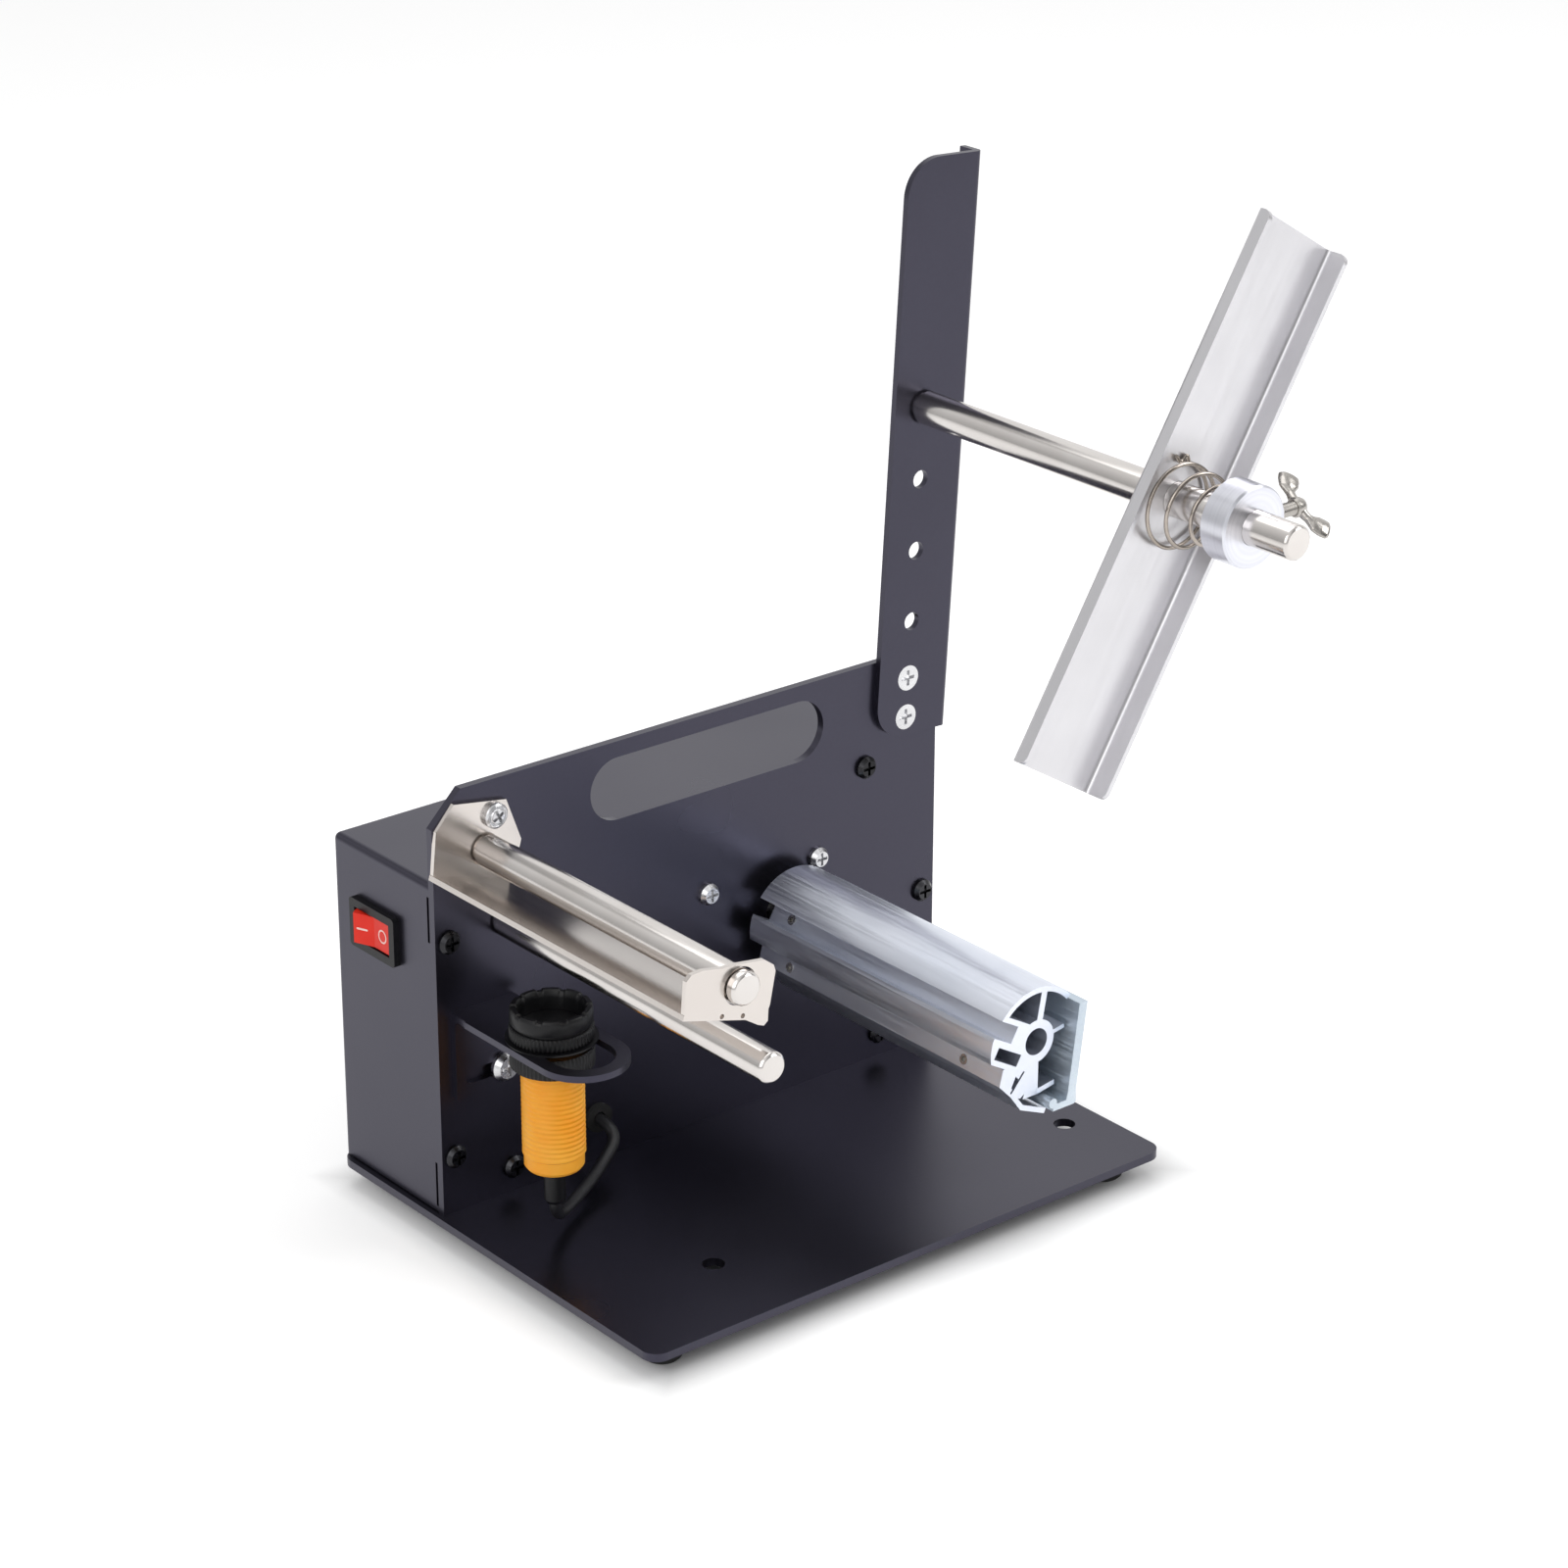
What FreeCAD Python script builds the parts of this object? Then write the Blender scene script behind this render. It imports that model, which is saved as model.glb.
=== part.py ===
import FreeCAD, Part
import math
import os
import re

import Sketcher

# Label dispenser: a sheet steel base and front plate with a folded cover behind them, a leaning
# upright with a reel shaft, a peel bracket with two rods, a label sensor, and a motor driven
# aluminium spool that winds up the backing paper.
# Millimetres. +X runs to the right along the front plate, +Y to the back, +Z up. The origin is
# the middle of the base plate's outline, at the level of the table that the feet stand on.
# In the names, "across" is counted from the front plate's left edge, "rise" from the top of the
# base plate, "over" and "under" from the cover's top, and "ahead" from the front plate's front
# face towards the user.

SIZES = {
    # Base plate and its feet
    "base_width": 190.0,
    "base_depth": 150.0,
    "base_sheet": 2.5,
    "base_corner": 5.0,
    "feet_height": 7.0,
    "foot_top_radius": 6.4,
    "foot_end_radius": 5.7,
    "foot_inset": 12.5,
    "mount_hole_radius": 3.25,
    "mount_hole_left": 44.5,
    "mount_hole_right": 12.0,
    "mount_hole_front": 30.0,
    # Front plate
    "plate_inset": 1.9,
    "plate_setback": 50.0,
    "plate_width": 184.1,
    "plate_over": 27.0,
    "plate_sheet": 2.5,
    "plate_chamfer": 10.0,
    "plate_corner": 2.0,
    "handle_left": 54.5,
    "handle_right": 140.1,
    "handle_low": 3.0,
    "handle_high": 22.1,
    # Small black screws that hold the plate to the cover and to the angles on the base
    "black_screw_radius": 1.75,
    "black_head_radius": 3.5,
    "black_head_height": 2.1,
    "black_screw_length": 6.0,
    "board_screw_length": 4.0,
    "left_screw_across": 4.4,
    "left_screw_high": 85.1,
    "left_screw_low": 18.0,
    "top_screw_across": 156.4,
    "top_screw_under": 5.3,
    "right_screw_across": 179.4,
    "right_screw_rise": 51.0,
    "angle_screw_left": 24.6,
    "angle_screw_right": 162.5,
    "angle_screw_rise": 8.0,
    "nut_radius": 2.9,
    "nut_height": 1.8,
    # Cover
    "cover_height": 103.0,
    "cover_sheet": 1.2,
    "cover_back_margin": 0.0,
    "cover_bend": 2.0,
    "cover_flange": 9.5,
    "cover_tab": 11.0,
    "cover_tab_half": 9.0,
    "cover_foot_gap": 0.4,
    "cover_foot_flange": 12.0,
    "cover_foot_screw_left": 30.0,
    "cover_foot_screw_right": 150.0,
    "relief_notch": 1.0,
    "relief_height": 14.0,
    # Angles that stand the plate on the base
    "angle_width": 16.0,
    "angle_leg": 14.0,
    "angle_foot": 14.0,
    "angle_sheet": 2.0,
    # Upright
    "upright_across": 158.9,
    "upright_over": 3.0,
    "upright_lean": 3.45,
    "upright_width": 27.5,
    "upright_length": 175.2,
    "upright_sheet": 2.0,
    "upright_flange": 7.7,
    "upright_top_corner": 11.5,
    "upright_low_corner": 10.0,
    "upright_hole_line": 11.3,
    "upright_hole_first": 35.6,
    "upright_hole_pitch": 21.9,
    "upright_hole_radius": 2.75,
    "upright_screw_first": 5.5,
    "upright_screw_pitch": 12.3,
    "upright_screw_radius": 2.0,
    "upright_head_radius": 3.9,
    "upright_screw_length": 9.0,
    # Six sided nuts behind the front plate
    "hex_nut_radius": 4.0,
    "hex_nut_height": 3.2,
    # Reel shaft, the guide channel on it, its spring, collar and wing screw
    "shaft_radius": 5.0,
    "shaft_length": 150.7,
    "shaft_chamfer": 1.0,
    "shaft_screw_radius": 2.5,
    "shaft_screw_length": 14.0,
    "shaft_head_radius": 4.6,
    "shaft_head_height": 3.2,
    "running_gap": 0.08,
    "thread_gap": 0.05,
    "channel_length": 163.4,
    "channel_width": 33.7,
    "channel_left_flange": 4.1,
    "channel_right_flange": 6.9,
    "channel_sheet": 1.5,
    "channel_bend": 2.5,
    "channel_end_corner": 2.5,
    "channel_tilt": 31.6,
    "channel_drop": 1.6,
    "spring_room": 20.4,
    "spring_end_gap": 0.1,
    "spring_wire": 1.1,
    "spring_big_radius": 11.6,
    "spring_small_radius": 7.0,
    "spring_turns": 3.5,
    "collar_radius": 11.7,
    "collar_length": 9.6,
    "collar_setback": 16.3,
    "collar_chamfer": 0.6,
    "wing_screw_radius": 2.0,
    "wing_stem_out": 8.0,
    "wing_hub_radius": 3.2,
    "wing_hub_length": 4.5,
    "wing_span": 11.5,
    "wing_rise": 8.0,
    "wing_sheet": 2.0,
    "wing_turn": 36.9,
    # Peel bracket and its two rods
    "peel_sheet": 1.5,
    "peel_length": 113.6,
    "peel_edge_over": 4.1,
    "peel_slope": 16.0,
    "peel_floor_width": 26.0,
    "peel_overhang": 1.1,
    "peel_screw_across": 20.0,
    "peel_screw_over": 17.0,
    "peel_head_radius": 3.75,
    "peel_head_height": 2.4,
    "peel_screw_length": 8.0,
    "peel_relief_radius": 0.7,
    "rod_radius": 4.8,
    "rod_across": 17.3,
    "rod_over": 7.1,
    "rod_length": 116.6,
    "rod_hole_gap": 0.6,
    "guide_rod_radius": 4.5,
    "rod_chamfer": 0.8,
    "guide_rod_across": 24.0,
    "guide_rod_under": 4.0,
    "guide_rod_length": 119.0,
    "rod_screw_radius": 2.0,
    "rod_screw_length": 10.0,
    "rod_head_radius": 3.6,
    "rod_head_height": 2.6,
    # Label sensor and its bracket
    "sensor_across": 17.5,
    "sensor_ahead": 30.0,
    "sensor_radius": 9.0,
    "sensor_top_rise": 65.6,
    "sensor_low_rise": 23.3,
    "sensor_end_step": 4.3,
    "sensor_window_radius": 8.8,
    "sensor_window_height": 1.6,
    "sensor_nut_radius": 12.0,
    "sensor_nut_height": 6.0,
    "sensor_collar_height": 10.0,
    "sensor_stub_radius": 3.1,
    "sensor_stub_low": 11.7,
    "sensor_plate_rise": 63.1,
    "sensor_sheet": 2.0,
    "sensor_plate_radius": 13.4,
    "sensor_plate_ahead": 44.1,
    "sensor_slot_gap": 0.3,
    "sensor_flange_rise": 36.5,
    "sensor_neck_left": 4.5,
    "sensor_neck_right": 26.0,
    "sensor_slot_left": 8.0,
    "sensor_slot_right": 24.0,
    "sensor_slot_radius": 1.9,
    "sensor_screw_across": 20.7,
    "sensor_screw_rise": 42.4,
    "sensor_head_radius": 4.4,
    "sensor_head_height": 2.8,
    "sensor_screw_length": 9.0,
    "cable_radius": 1.8,
    "cable_hole_across": 55.0,
    "cable_hole_rise": 13.9,
    "cable_hole_radius": 3.6,
    "grommet_flange": 1.2,
    "grommet_rim": 0.9,
    # Rocker switch in the cover's left wall
    "switch_ahead": -28.7,
    "switch_rise": 79.6,
    "switch_width": 22.0,
    "switch_height": 15.0,
    "switch_rim": 2.0,
    "switch_body_margin": 1.4,
    "switch_body_depth": 14.0,
    "switch_wall": 1.5,
    "rocker_gap": 0.35,
    "rocker_tilt": 11.0,
    "rocker_face": 3.0,
    "rocker_back": 3.0,
    "switch_pin_radius": 1.0,
    "switch_pin_depth": 1.5,
    "switch_corner": 1.2,
    # Gear motor
    "hub_across": 125.2,
    "hub_rise": 59.1,
    "motor_shaft_radius": 4.0,
    "motor_screw_right": 12.8,
    "motor_screw_spacing": 41.6,
    "motor_screw_rows": 28.8,
    "motor_screw_radius": 2.0,
    "motor_head_radius": 3.3,
    "motor_head_height": 2.4,
    "motor_screw_length": 9.0,
    "gearbox_width": 58.0,
    "gearbox_height": 40.0,
    "gearbox_depth": 24.0,
    "gearbox_corner": 3.0,
    "plate_shaft_hole": 7.0,
    "motor_radius": 15.5,
    "motor_length": 44.0,
    # Winding spool, an aluminium extrusion with a hinged clamp bar
    "spool_gap": 5.0,
    "spool_length": 106.0,
    "spool_radius": 16.5,
    "spool_wall": 1.6,
    "spool_hub_radius": 6.6,
    "spool_chord_slope": 30.0,
    "clamp_length": 110.0,
    "bead_radius": 1.5,
    "bead_gap": 0.3,
    "grub_radius": 1.5,
    "grub_length": 4.0,
    "shaft_grub_length": 5.2,
    "shaft_grub_root": 8.7,
    "grub_root": 13.5,
    "grub_end": 15.7,
    "shaft_reach": 60.0,
    # Control board and supply inlet
    "board_width": 70.0,
    "board_depth": 26.0,
    "board_sheet": 1.6,
    "board_left": 43.0,
    "board_hole_inset": 3.5,
    "connector_width": 9.0,
    "connector_height": 8.5,
    "board_rise": 8.0,
    "standoff_radius": 2.6,
    "inlet_radius": 5.4,
    "inlet_across": 150.0,
    "inlet_rise": 20.0,
    "hole_gap": 0.1,
}

# Places worked out from the sizes
PLACES = {
    "base_top": "feet_height + base_sheet",
    "plate_left": "plate_inset - base_width / 2",
    "plate_right": "plate_left + plate_width",
    "plate_front": "base_depth / 2 - plate_setback",
    "plate_back": "plate_front + plate_sheet",
    "cover_back": "base_depth / 2 - cover_back_margin",
    "cover_top": "base_top + cover_height",
    "upright_corner_x": "plate_left + upright_across",
    "upright_corner_z": "cover_top + upright_over",
    "reel_along": "upright_hole_first + 3 * upright_hole_pitch",
    "reel_level_x": "upright_corner_x + upright_hole_line * cos(upright_lean)",
    "reel_level_z": "upright_corner_z - upright_hole_line * sin(upright_lean)",
    "reel_x": "reel_level_x + reel_along * sin(upright_lean)",
    "reel_z": "reel_level_z + reel_along * cos(upright_lean)",
    "upright_face": "plate_front - upright_sheet",
    "shaft_end_y": "upright_face - shaft_length",
    "collar_y": "shaft_end_y + collar_setback + collar_length",
    "channel_y": "collar_y + spring_room",
    "hub_x": "plate_left + hub_across",
    "hub_z": "base_top + hub_rise",
    "gearbox_x": "hub_x + motor_screw_right - motor_screw_spacing / 2",
    "sensor_x": "plate_left + sensor_across",
    "sensor_y": "plate_front - sensor_ahead",
    "sensor_plate_top": "base_top + sensor_plate_rise",
    "switch_y": "plate_front - switch_ahead",
    "switch_z": "base_top + switch_rise",
    "spool_y": "plate_front - spool_gap",
    "rod_x": "plate_left + rod_across",
    "rod_z": "cover_top + rod_over",
    "guide_rod_x": "plate_left + guide_rod_across",
    "collar_top": "sensor_plate_top + sensor_collar_height",
    "guide_rod_z": "(collar_top + cover_top + peel_edge_over) / 2 - guide_rod_under",
    "cable_hole_x": "plate_left + cable_hole_across",
    "cable_hole_z": "base_top + cable_hole_rise",
    "board_x": "plate_left + board_left",
    "board_y": "plate_back + 7",
    "board_z": "base_top + board_rise",
}

DOC = FreeCAD.newDocument("label_dispenser")
X_AXIS = FreeCAD.Vector(1, 0, 0)
Y_AXIS = FreeCAD.Vector(0, 1, 0)
Z_AXIS = FreeCAD.Vector(0, 0, 1)
NODES = []


def linked(text, own=()):
    """Write a formula of sizes and places as FreeCAD reads it, with the sheet before each name."""
    def with_sheet(word):
        name = word.group()
        if name in own:
            return name
        if name in SIZES:
            return "Sizes." + name
        if name in PLACES:
            return "Places." + name
        return name
    return re.sub(r"[a-z]\w*", with_sheet, str(text))


def fill_sheet(name, cells):
    """A sheet with one named cell for each entry."""
    sheet = DOC.addObject("Spreadsheet::Sheet", name)
    for row, (alias, content) in enumerate(cells.items(), start=1):
        sheet.set(f"A{row}", alias)
        sheet.set(f"B{row}", content)
        sheet.setAlias(f"B{row}", alias)
    DOC.recompute()
    return sheet


fill_sheet("Sizes", {name: str(value) for name, value in SIZES.items()})
fill_sheet("Places", {name: "=" + linked(text, own=PLACES) for name, text in PLACES.items()})
SUMS = DOC.addObject("Spreadsheet::Sheet", "Sums")


def worth(text):
    """The number that a formula of sizes and places comes to."""
    SUMS.set("A1", "=" + linked(text))
    SUMS.recompute()
    return float(SUMS.A1)


def point(x, y, z):
    """A point in space from three formulas."""
    return FreeCAD.Vector(worth(x), worth(y), worth(z))


def bind(thing, **formulas):
    """Tie properties of an object to formulas."""
    for name, text in formulas.items():
        thing.setExpression(name, linked(text))


def place(thing, x="0", y="0", z="0", axis=None, angle="0"):
    """Put an object at a point, turned about one axis."""
    turn = FreeCAD.Rotation(axis or Z_AXIS, worth(angle))
    thing.Placement = FreeCAD.Placement(point(x, y, z), turn)
    for letter, text in zip("xyz", (x, y, z)):
        thing.setExpression("Placement.Base." + letter, linked(text))
    if axis:
        thing.setExpression("Placement.Rotation.Angle", linked(angle))


def node(thing, label):
    """Take an object into the list of pieces, under the name that its file gets."""
    thing.Label = label
    NODES.append(thing)
    return thing


def new_body(name):
    """An empty body."""
    return DOC.addObject("PartDesign::Body", name)


def sketch(body, plane, offset="0"):
    """A sketch on one of the body's own planes, moved along that plane's normal."""
    support = [part for part in body.Origin.OriginFeatures if part.Role == plane][0]
    drawing = body.newObject("Sketcher::SketchObject", body.Name + "_sketch")
    drawing.AttachmentSupport = [(support, "")]
    drawing.MapMode = "FlatFace"
    drawing.AttachmentOffset.Base.z = worth(offset)
    drawing.setExpression("AttachmentOffset.Base.z", linked(offset))
    return drawing


def tie(drawing, constraint, text):
    """Add a constraint whose value follows a formula."""
    index = drawing.addConstraint(constraint)
    name = f"size_{index}"
    drawing.renameConstraint(index, name)
    drawing.setExpression("Constraints." + name, linked(text))


def outline(drawing, corners):
    """A closed outline of straight lines through corners given as pairs of formulas."""
    spots = [FreeCAD.Vector(worth(x), worth(y), 0) for x, y in corners]
    count = len(spots)
    lines = []
    for here in range(count):
        lines.append(drawing.addGeometry(Part.LineSegment(spots[here], spots[(here + 1) % count])))
    for here in range(count):
        drawing.addConstraint(Sketcher.Constraint("Coincident", lines[here - 1], 2, lines[here], 1))
    for line, spot, (x, y) in zip(lines, spots, corners):
        tie(drawing, Sketcher.Constraint("DistanceX", -1, 1, line, 1, spot.x), x)
        tie(drawing, Sketcher.Constraint("DistanceY", -1, 1, line, 1, spot.y), y)


def box_outline(drawing, left, low, right, high):
    """A rectangle between two corners."""
    outline(drawing, [(left, low), (right, low), (right, high), (left, high)])


def circle(drawing, x, y, radius):
    """A circle whose centre and radius follow formulas."""
    centre = FreeCAD.Vector(worth(x), worth(y), 0)
    ring = drawing.addGeometry(Part.Circle(centre, Z_AXIS, worth(radius)))
    tie(drawing, Sketcher.Constraint("Radius", ring, worth(radius)), radius)
    tie(drawing, Sketcher.Constraint("DistanceX", -1, 1, ring, 3, centre.x), x)
    tie(drawing, Sketcher.Constraint("DistanceY", -1, 1, ring, 3, centre.y), y)


def round_slot(drawing, left, right, middle, radius, upright=False):
    """A slot with round ends between two centres, lying or upright."""
    start, stop, level, size = (worth(text) for text in (left, right, middle, radius))
    turn = math.pi / 2 if upright else 0.0
    if upright:
        ends = [FreeCAD.Vector(level, start, 0), FreeCAD.Vector(level, stop, 0)]
        side = FreeCAD.Vector(size, 0, 0)
    else:
        ends = [FreeCAD.Vector(start, level, 0), FreeCAD.Vector(stop, level, 0)]
        side = FreeCAD.Vector(0, -size, 0)
    first = drawing.addGeometry(Part.LineSegment(ends[0] + side, ends[1] + side))
    right_circle = Part.Circle(ends[1], Z_AXIS, size)
    right_arc = Part.ArcOfCircle(right_circle, turn - math.pi / 2, turn + math.pi / 2)
    near = drawing.addGeometry(right_arc)
    second = drawing.addGeometry(Part.LineSegment(ends[1] - side, ends[0] - side))
    left_circle = Part.Circle(ends[0], Z_AXIS, size)
    left_arc = Part.ArcOfCircle(left_circle, turn + math.pi / 2, turn + 3 * math.pi / 2)
    far = drawing.addGeometry(left_arc)
    drawing.addConstraint(Sketcher.Constraint("Tangent", first, 2, near, 1))
    drawing.addConstraint(Sketcher.Constraint("Tangent", near, 2, second, 1))
    drawing.addConstraint(Sketcher.Constraint("Tangent", second, 2, far, 1))
    drawing.addConstraint(Sketcher.Constraint("Tangent", far, 2, first, 1))
    tie(drawing, Sketcher.Constraint("Radius", near, size), radius)
    along, level_kind = ("DistanceY", "DistanceX") if upright else ("DistanceX", "DistanceY")
    tie(drawing, Sketcher.Constraint(along, -1, 1, far, 3, start), left)
    tie(drawing, Sketcher.Constraint(along, -1, 1, near, 3, stop), right)
    tie(drawing, Sketcher.Constraint(level_kind, -1, 1, near, 3, level), middle)


def pad(body, drawing, length, reverse=False, both_ways=False):
    """Grow the body by a drawing's outline."""
    feature = body.newObject("PartDesign::Pad", body.Name + "_pad")
    feature.Profile = drawing
    feature.Reversed = reverse
    if both_ways:
        feature.SideType = "Symmetric"
    bind(feature, Length=length)
    DOC.recompute()
    return feature


def pocket(body, drawing, length=None, reverse=False):
    """Cut a drawing's outline out of the body, right through it when no length is given."""
    before = body.Shape.Volume
    feature = body.newObject("PartDesign::Pocket", body.Name + "_pocket")
    feature.Profile = drawing
    if length is None:
        feature.Type = "ThroughAll"
        feature.SideType = "Symmetric"
    else:
        feature.Reversed = reverse
        bind(feature, Length=length)
    DOC.recompute()
    if body.Shape.Volume >= before - 1e-6:
        raise ValueError(f"a pocket of {body.Name} cuts nothing")
    return feature


def edges_along(shape, direction, spots):
    """Names of the straight edges that run along an axis through spots of the other two."""
    keep = {"x": (1, 2), "y": (0, 2), "z": (0, 1)}[direction]
    wanted = [(worth(first), worth(second)) for first, second in spots]
    names = []
    for number, edge in enumerate(shape.Edges, start=1):
        ends = [vertex.Point for vertex in edge.Vertexes]
        if len(ends) != 2 or edge.Curve.TypeId != "Part::GeomLine":
            continue
        for first, second in wanted:
            if all(abs(end[keep[0]] - first) + abs(end[keep[1]] - second) < 1e-3 for end in ends):
                names.append(f"Edge{number}")
    if not names:
        raise ValueError("no edge found to dress")
    return names


def dress(body, kind, edges, size):
    """Round or bevel edges of the body's last feature."""
    last = body.Tip
    feature = body.newObject("PartDesign::" + kind, body.Name + "_" + kind.lower())
    feature.Base = (last, edges)
    bind(feature, **{"Radius" if kind == "Fillet" else "Size": size})
    DOC.recompute()
    return feature


def round_edges(body, direction, spots, radius):
    """Round the body's edges that run along an axis through the spots."""
    return dress(body, "Fillet", edges_along(body.Shape, direction, spots), radius)


def turned(name, profile):
    """A turned body about its own Z axis, from a profile of radius and height formulas."""
    body = new_body(name)
    drawing = sketch(body, "XZ_Plane")
    outline(drawing, profile)
    feature = body.newObject("PartDesign::Revolution", name + "_turn")
    feature.Profile = drawing
    feature.ReferenceAxis = (drawing, ["V_Axis"])
    feature.Angle = 360
    DOC.recompute()
    return body


def copies(label, master, places):
    """One node that holds a copy of a master piece at each of several placements."""
    shapes = []
    for spot in places:
        shape = master.Shape.copy()
        shape.Placement = spot
        shapes.append(shape)
    group = DOC.addObject("Part::Feature", label)
    group.Shape = Part.makeCompound(shapes)
    return node(group, label)


def facing(direction, x, y, z):
    """A placement that turns local +Z to a world direction and stands at a point."""
    turn = FreeCAD.Rotation(Z_AXIS, direction)
    return FreeCAD.Placement(point(x, y, z), turn)


FRONT = FreeCAD.Vector(0, -1, 0)
BACK = FreeCAD.Vector(0, 1, 0)
UP = FreeCAD.Vector(0, 0, 1)
DOWN = FreeCAD.Vector(0, 0, -1)


def cross_recess(body, head_height, head_radius, depth):
    """The cross recess in a screw's head, cut from its top."""
    arm, half = f"0.62 * ({head_radius})", f"0.13 * ({head_radius})"
    drawing = sketch(body, "XY_Plane", head_height)
    outline(drawing, [
        (arm, f"-{half}"), (arm, half), (half, half), (half, arm), (f"-{half}", arm), (f"-{half}", half),
        (f"-{arm}", half), (f"-{arm}", f"-{half}"), (f"-{half}", f"-{half}"), (f"-{half}", f"-{arm}"),
        (half, f"-{arm}"), (half, f"-{half}"),
    ])
    pocket(body, drawing, depth)


def pan_screw(name, shank_radius, length, head_radius, head_height):
    """A pan head screw along +Z: its head stands on z = 0 and its shank goes down from there."""
    body = turned(name, [
        ("0", f"-({length})"), (f"{shank_radius} - 0.3", f"-({length})"),
        (shank_radius, f"0.3 - ({length})"), (shank_radius, "0"), (head_radius, "0"),
        (head_radius, f"0.45 * ({head_height})"), (f"0.72 * ({head_radius})", head_height),
        ("0", head_height),
    ])
    cross_recess(body, head_height, head_radius, f"0.55 * ({head_height})")
    return body


def black_screw(name, length):
    """One of the small black screws."""
    return pan_screw(name, "black_screw_radius", length, "black_head_radius", "black_head_height")


def flat_screw(name, shank_radius, length, head_radius):
    """A countersunk screw along +Z: its flat head ends at z = 0."""
    body = turned(name, [
        ("0", f"-({length})"), (shank_radius, f"-({length})"),
        (shank_radius, f"{shank_radius} - {head_radius}"), (head_radius, "0"), ("0", "0"),
    ])
    cross_recess(body, "0", head_radius, f"0.3 * {head_radius}")
    return body


def ring_nut(name, bore, radius, height):
    """A round nut along +Z, standing on z = 0."""
    return turned(name, [(bore, "0"), (radius, "0"), (radius, height), (bore, height)])


def hex_nut(name, bore, radius, height):
    """A six sided nut along +Z, standing on z = 0."""
    body = new_body(name)
    drawing = sketch(body, "XY_Plane")
    corners = [(f"({radius}) * cos({60 * step})", f"({radius}) * sin({60 * step})") for step in range(6)]
    outline(drawing, corners)
    circle(drawing, "0", "0", bore)
    pad(body, drawing, height)
    return body


def rims(shape, radius, centres):
    """Names of the circular edges of a radius about centres given as vectors."""
    names = []
    for number, edge in enumerate(shape.Edges, start=1):
        if edge.Curve.TypeId != "Part::GeomCircle" or abs(edge.Curve.Radius - radius) > 1e-3:
            continue
        if any(edge.Curve.Center.distanceToPoint(centre) < 1e-3 for centre in centres):
            names.append(f"Edge{number}")
    if not names:
        raise ValueError("no rim found to dress")
    return names


def on_upright(along, across="upright_hole_line"):
    """World x and z of a spot on the leaning upright, from its own length and width."""
    x = f"upright_corner_x + ({across}) * cos(upright_lean) + ({along}) * sin(upright_lean)"
    z = f"upright_corner_z - ({across}) * sin(upright_lean) + ({along}) * cos(upright_lean)"
    return x, z


PLATE_TO_COVER = [
    ("plate_left + left_screw_across", "base_top + left_screw_high"),
    ("plate_left + left_screw_across", "base_top + left_screw_low"),
    ("plate_left + top_screw_across", "cover_top - top_screw_under"),
    ("plate_left + right_screw_across", "base_top + right_screw_rise"),
]
PLATE_TO_ANGLES = [
    ("plate_left + angle_screw_left", "base_top + angle_screw_rise"),
    ("plate_left + angle_screw_right", "base_top + angle_screw_rise"),
]
PEEL_SCREW = ("plate_left + peel_screw_across", "cover_top + peel_screw_over")
SENSOR_SCREW = ("plate_left + sensor_screw_across", "base_top + sensor_screw_rise")
UPRIGHT_SCREWS = [
    on_upright("upright_screw_first"), on_upright("upright_screw_first + upright_screw_pitch"),
]
MOTOR_SCREWS = [
    (f"hub_x + motor_screw_right - {column} * motor_screw_spacing", f"hub_z + {row} * motor_screw_rows")
    for column in (0, 1) for row in (-0.5, 0.5)
]
BOARD_CORNERS = [
    (
        f"board_x + board_hole_inset + {column} * (board_width - 2 * board_hole_inset)",
        f"board_y + board_hole_inset + {row} * (board_depth - 2 * board_hole_inset)",
    )
    for column in (0, 1) for row in (0, 1)
]
COVER_FEET = [
    ("plate_left + cover_foot_screw_left", "cover_back - cover_foot_flange / 2"),
    ("plate_left + cover_foot_screw_right", "cover_back - cover_foot_flange / 2"),
]
ANGLE_FEET = [(x, "plate_back + angle_foot * 0.6") for x, z in PLATE_TO_ANGLES]


# Base plate, feet and the angles behind the front plate

def base_plate():
    body = new_body("BasePlate")
    drawing = sketch(body, "XY_Plane", "feet_height")
    box_outline(drawing, "-base_width / 2", "-base_depth / 2", "base_width / 2", "base_depth / 2")
    pad(body, drawing, "base_sheet")
    corners = [(f"{side} * base_width / 2", f"{end} * base_depth / 2") for side in (-1, 1) for end in (-1, 1)]
    round_edges(body, "z", corners, "base_corner")
    holes = sketch(body, "XY_Plane", "feet_height")
    for x in ("mount_hole_left - base_width / 2", "base_width / 2 - mount_hole_right"):
        circle(holes, x, "mount_hole_front - base_depth / 2", "mount_hole_radius")
    for x, y in BOARD_CORNERS + COVER_FEET + ANGLE_FEET:
        circle(holes, x, y, "black_screw_radius + hole_gap")
    pocket(body, holes)
    node(body, "base_plate")


def base_feet():
    foot = turned("Foot", [
        ("0", "0"), ("foot_end_radius - 0.8", "0"), ("foot_end_radius", "0.8"),
        ("foot_top_radius", "feet_height"), ("0", "feet_height"),
    ])
    spots = [
        facing(UP, f"{side} * (base_width / 2 - foot_inset)", f"{end} * (base_depth / 2 - foot_inset)", "0")
        for side in (-1, 1) for end in (-1, 1)
    ]
    copies("base_feet", foot, spots)


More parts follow.
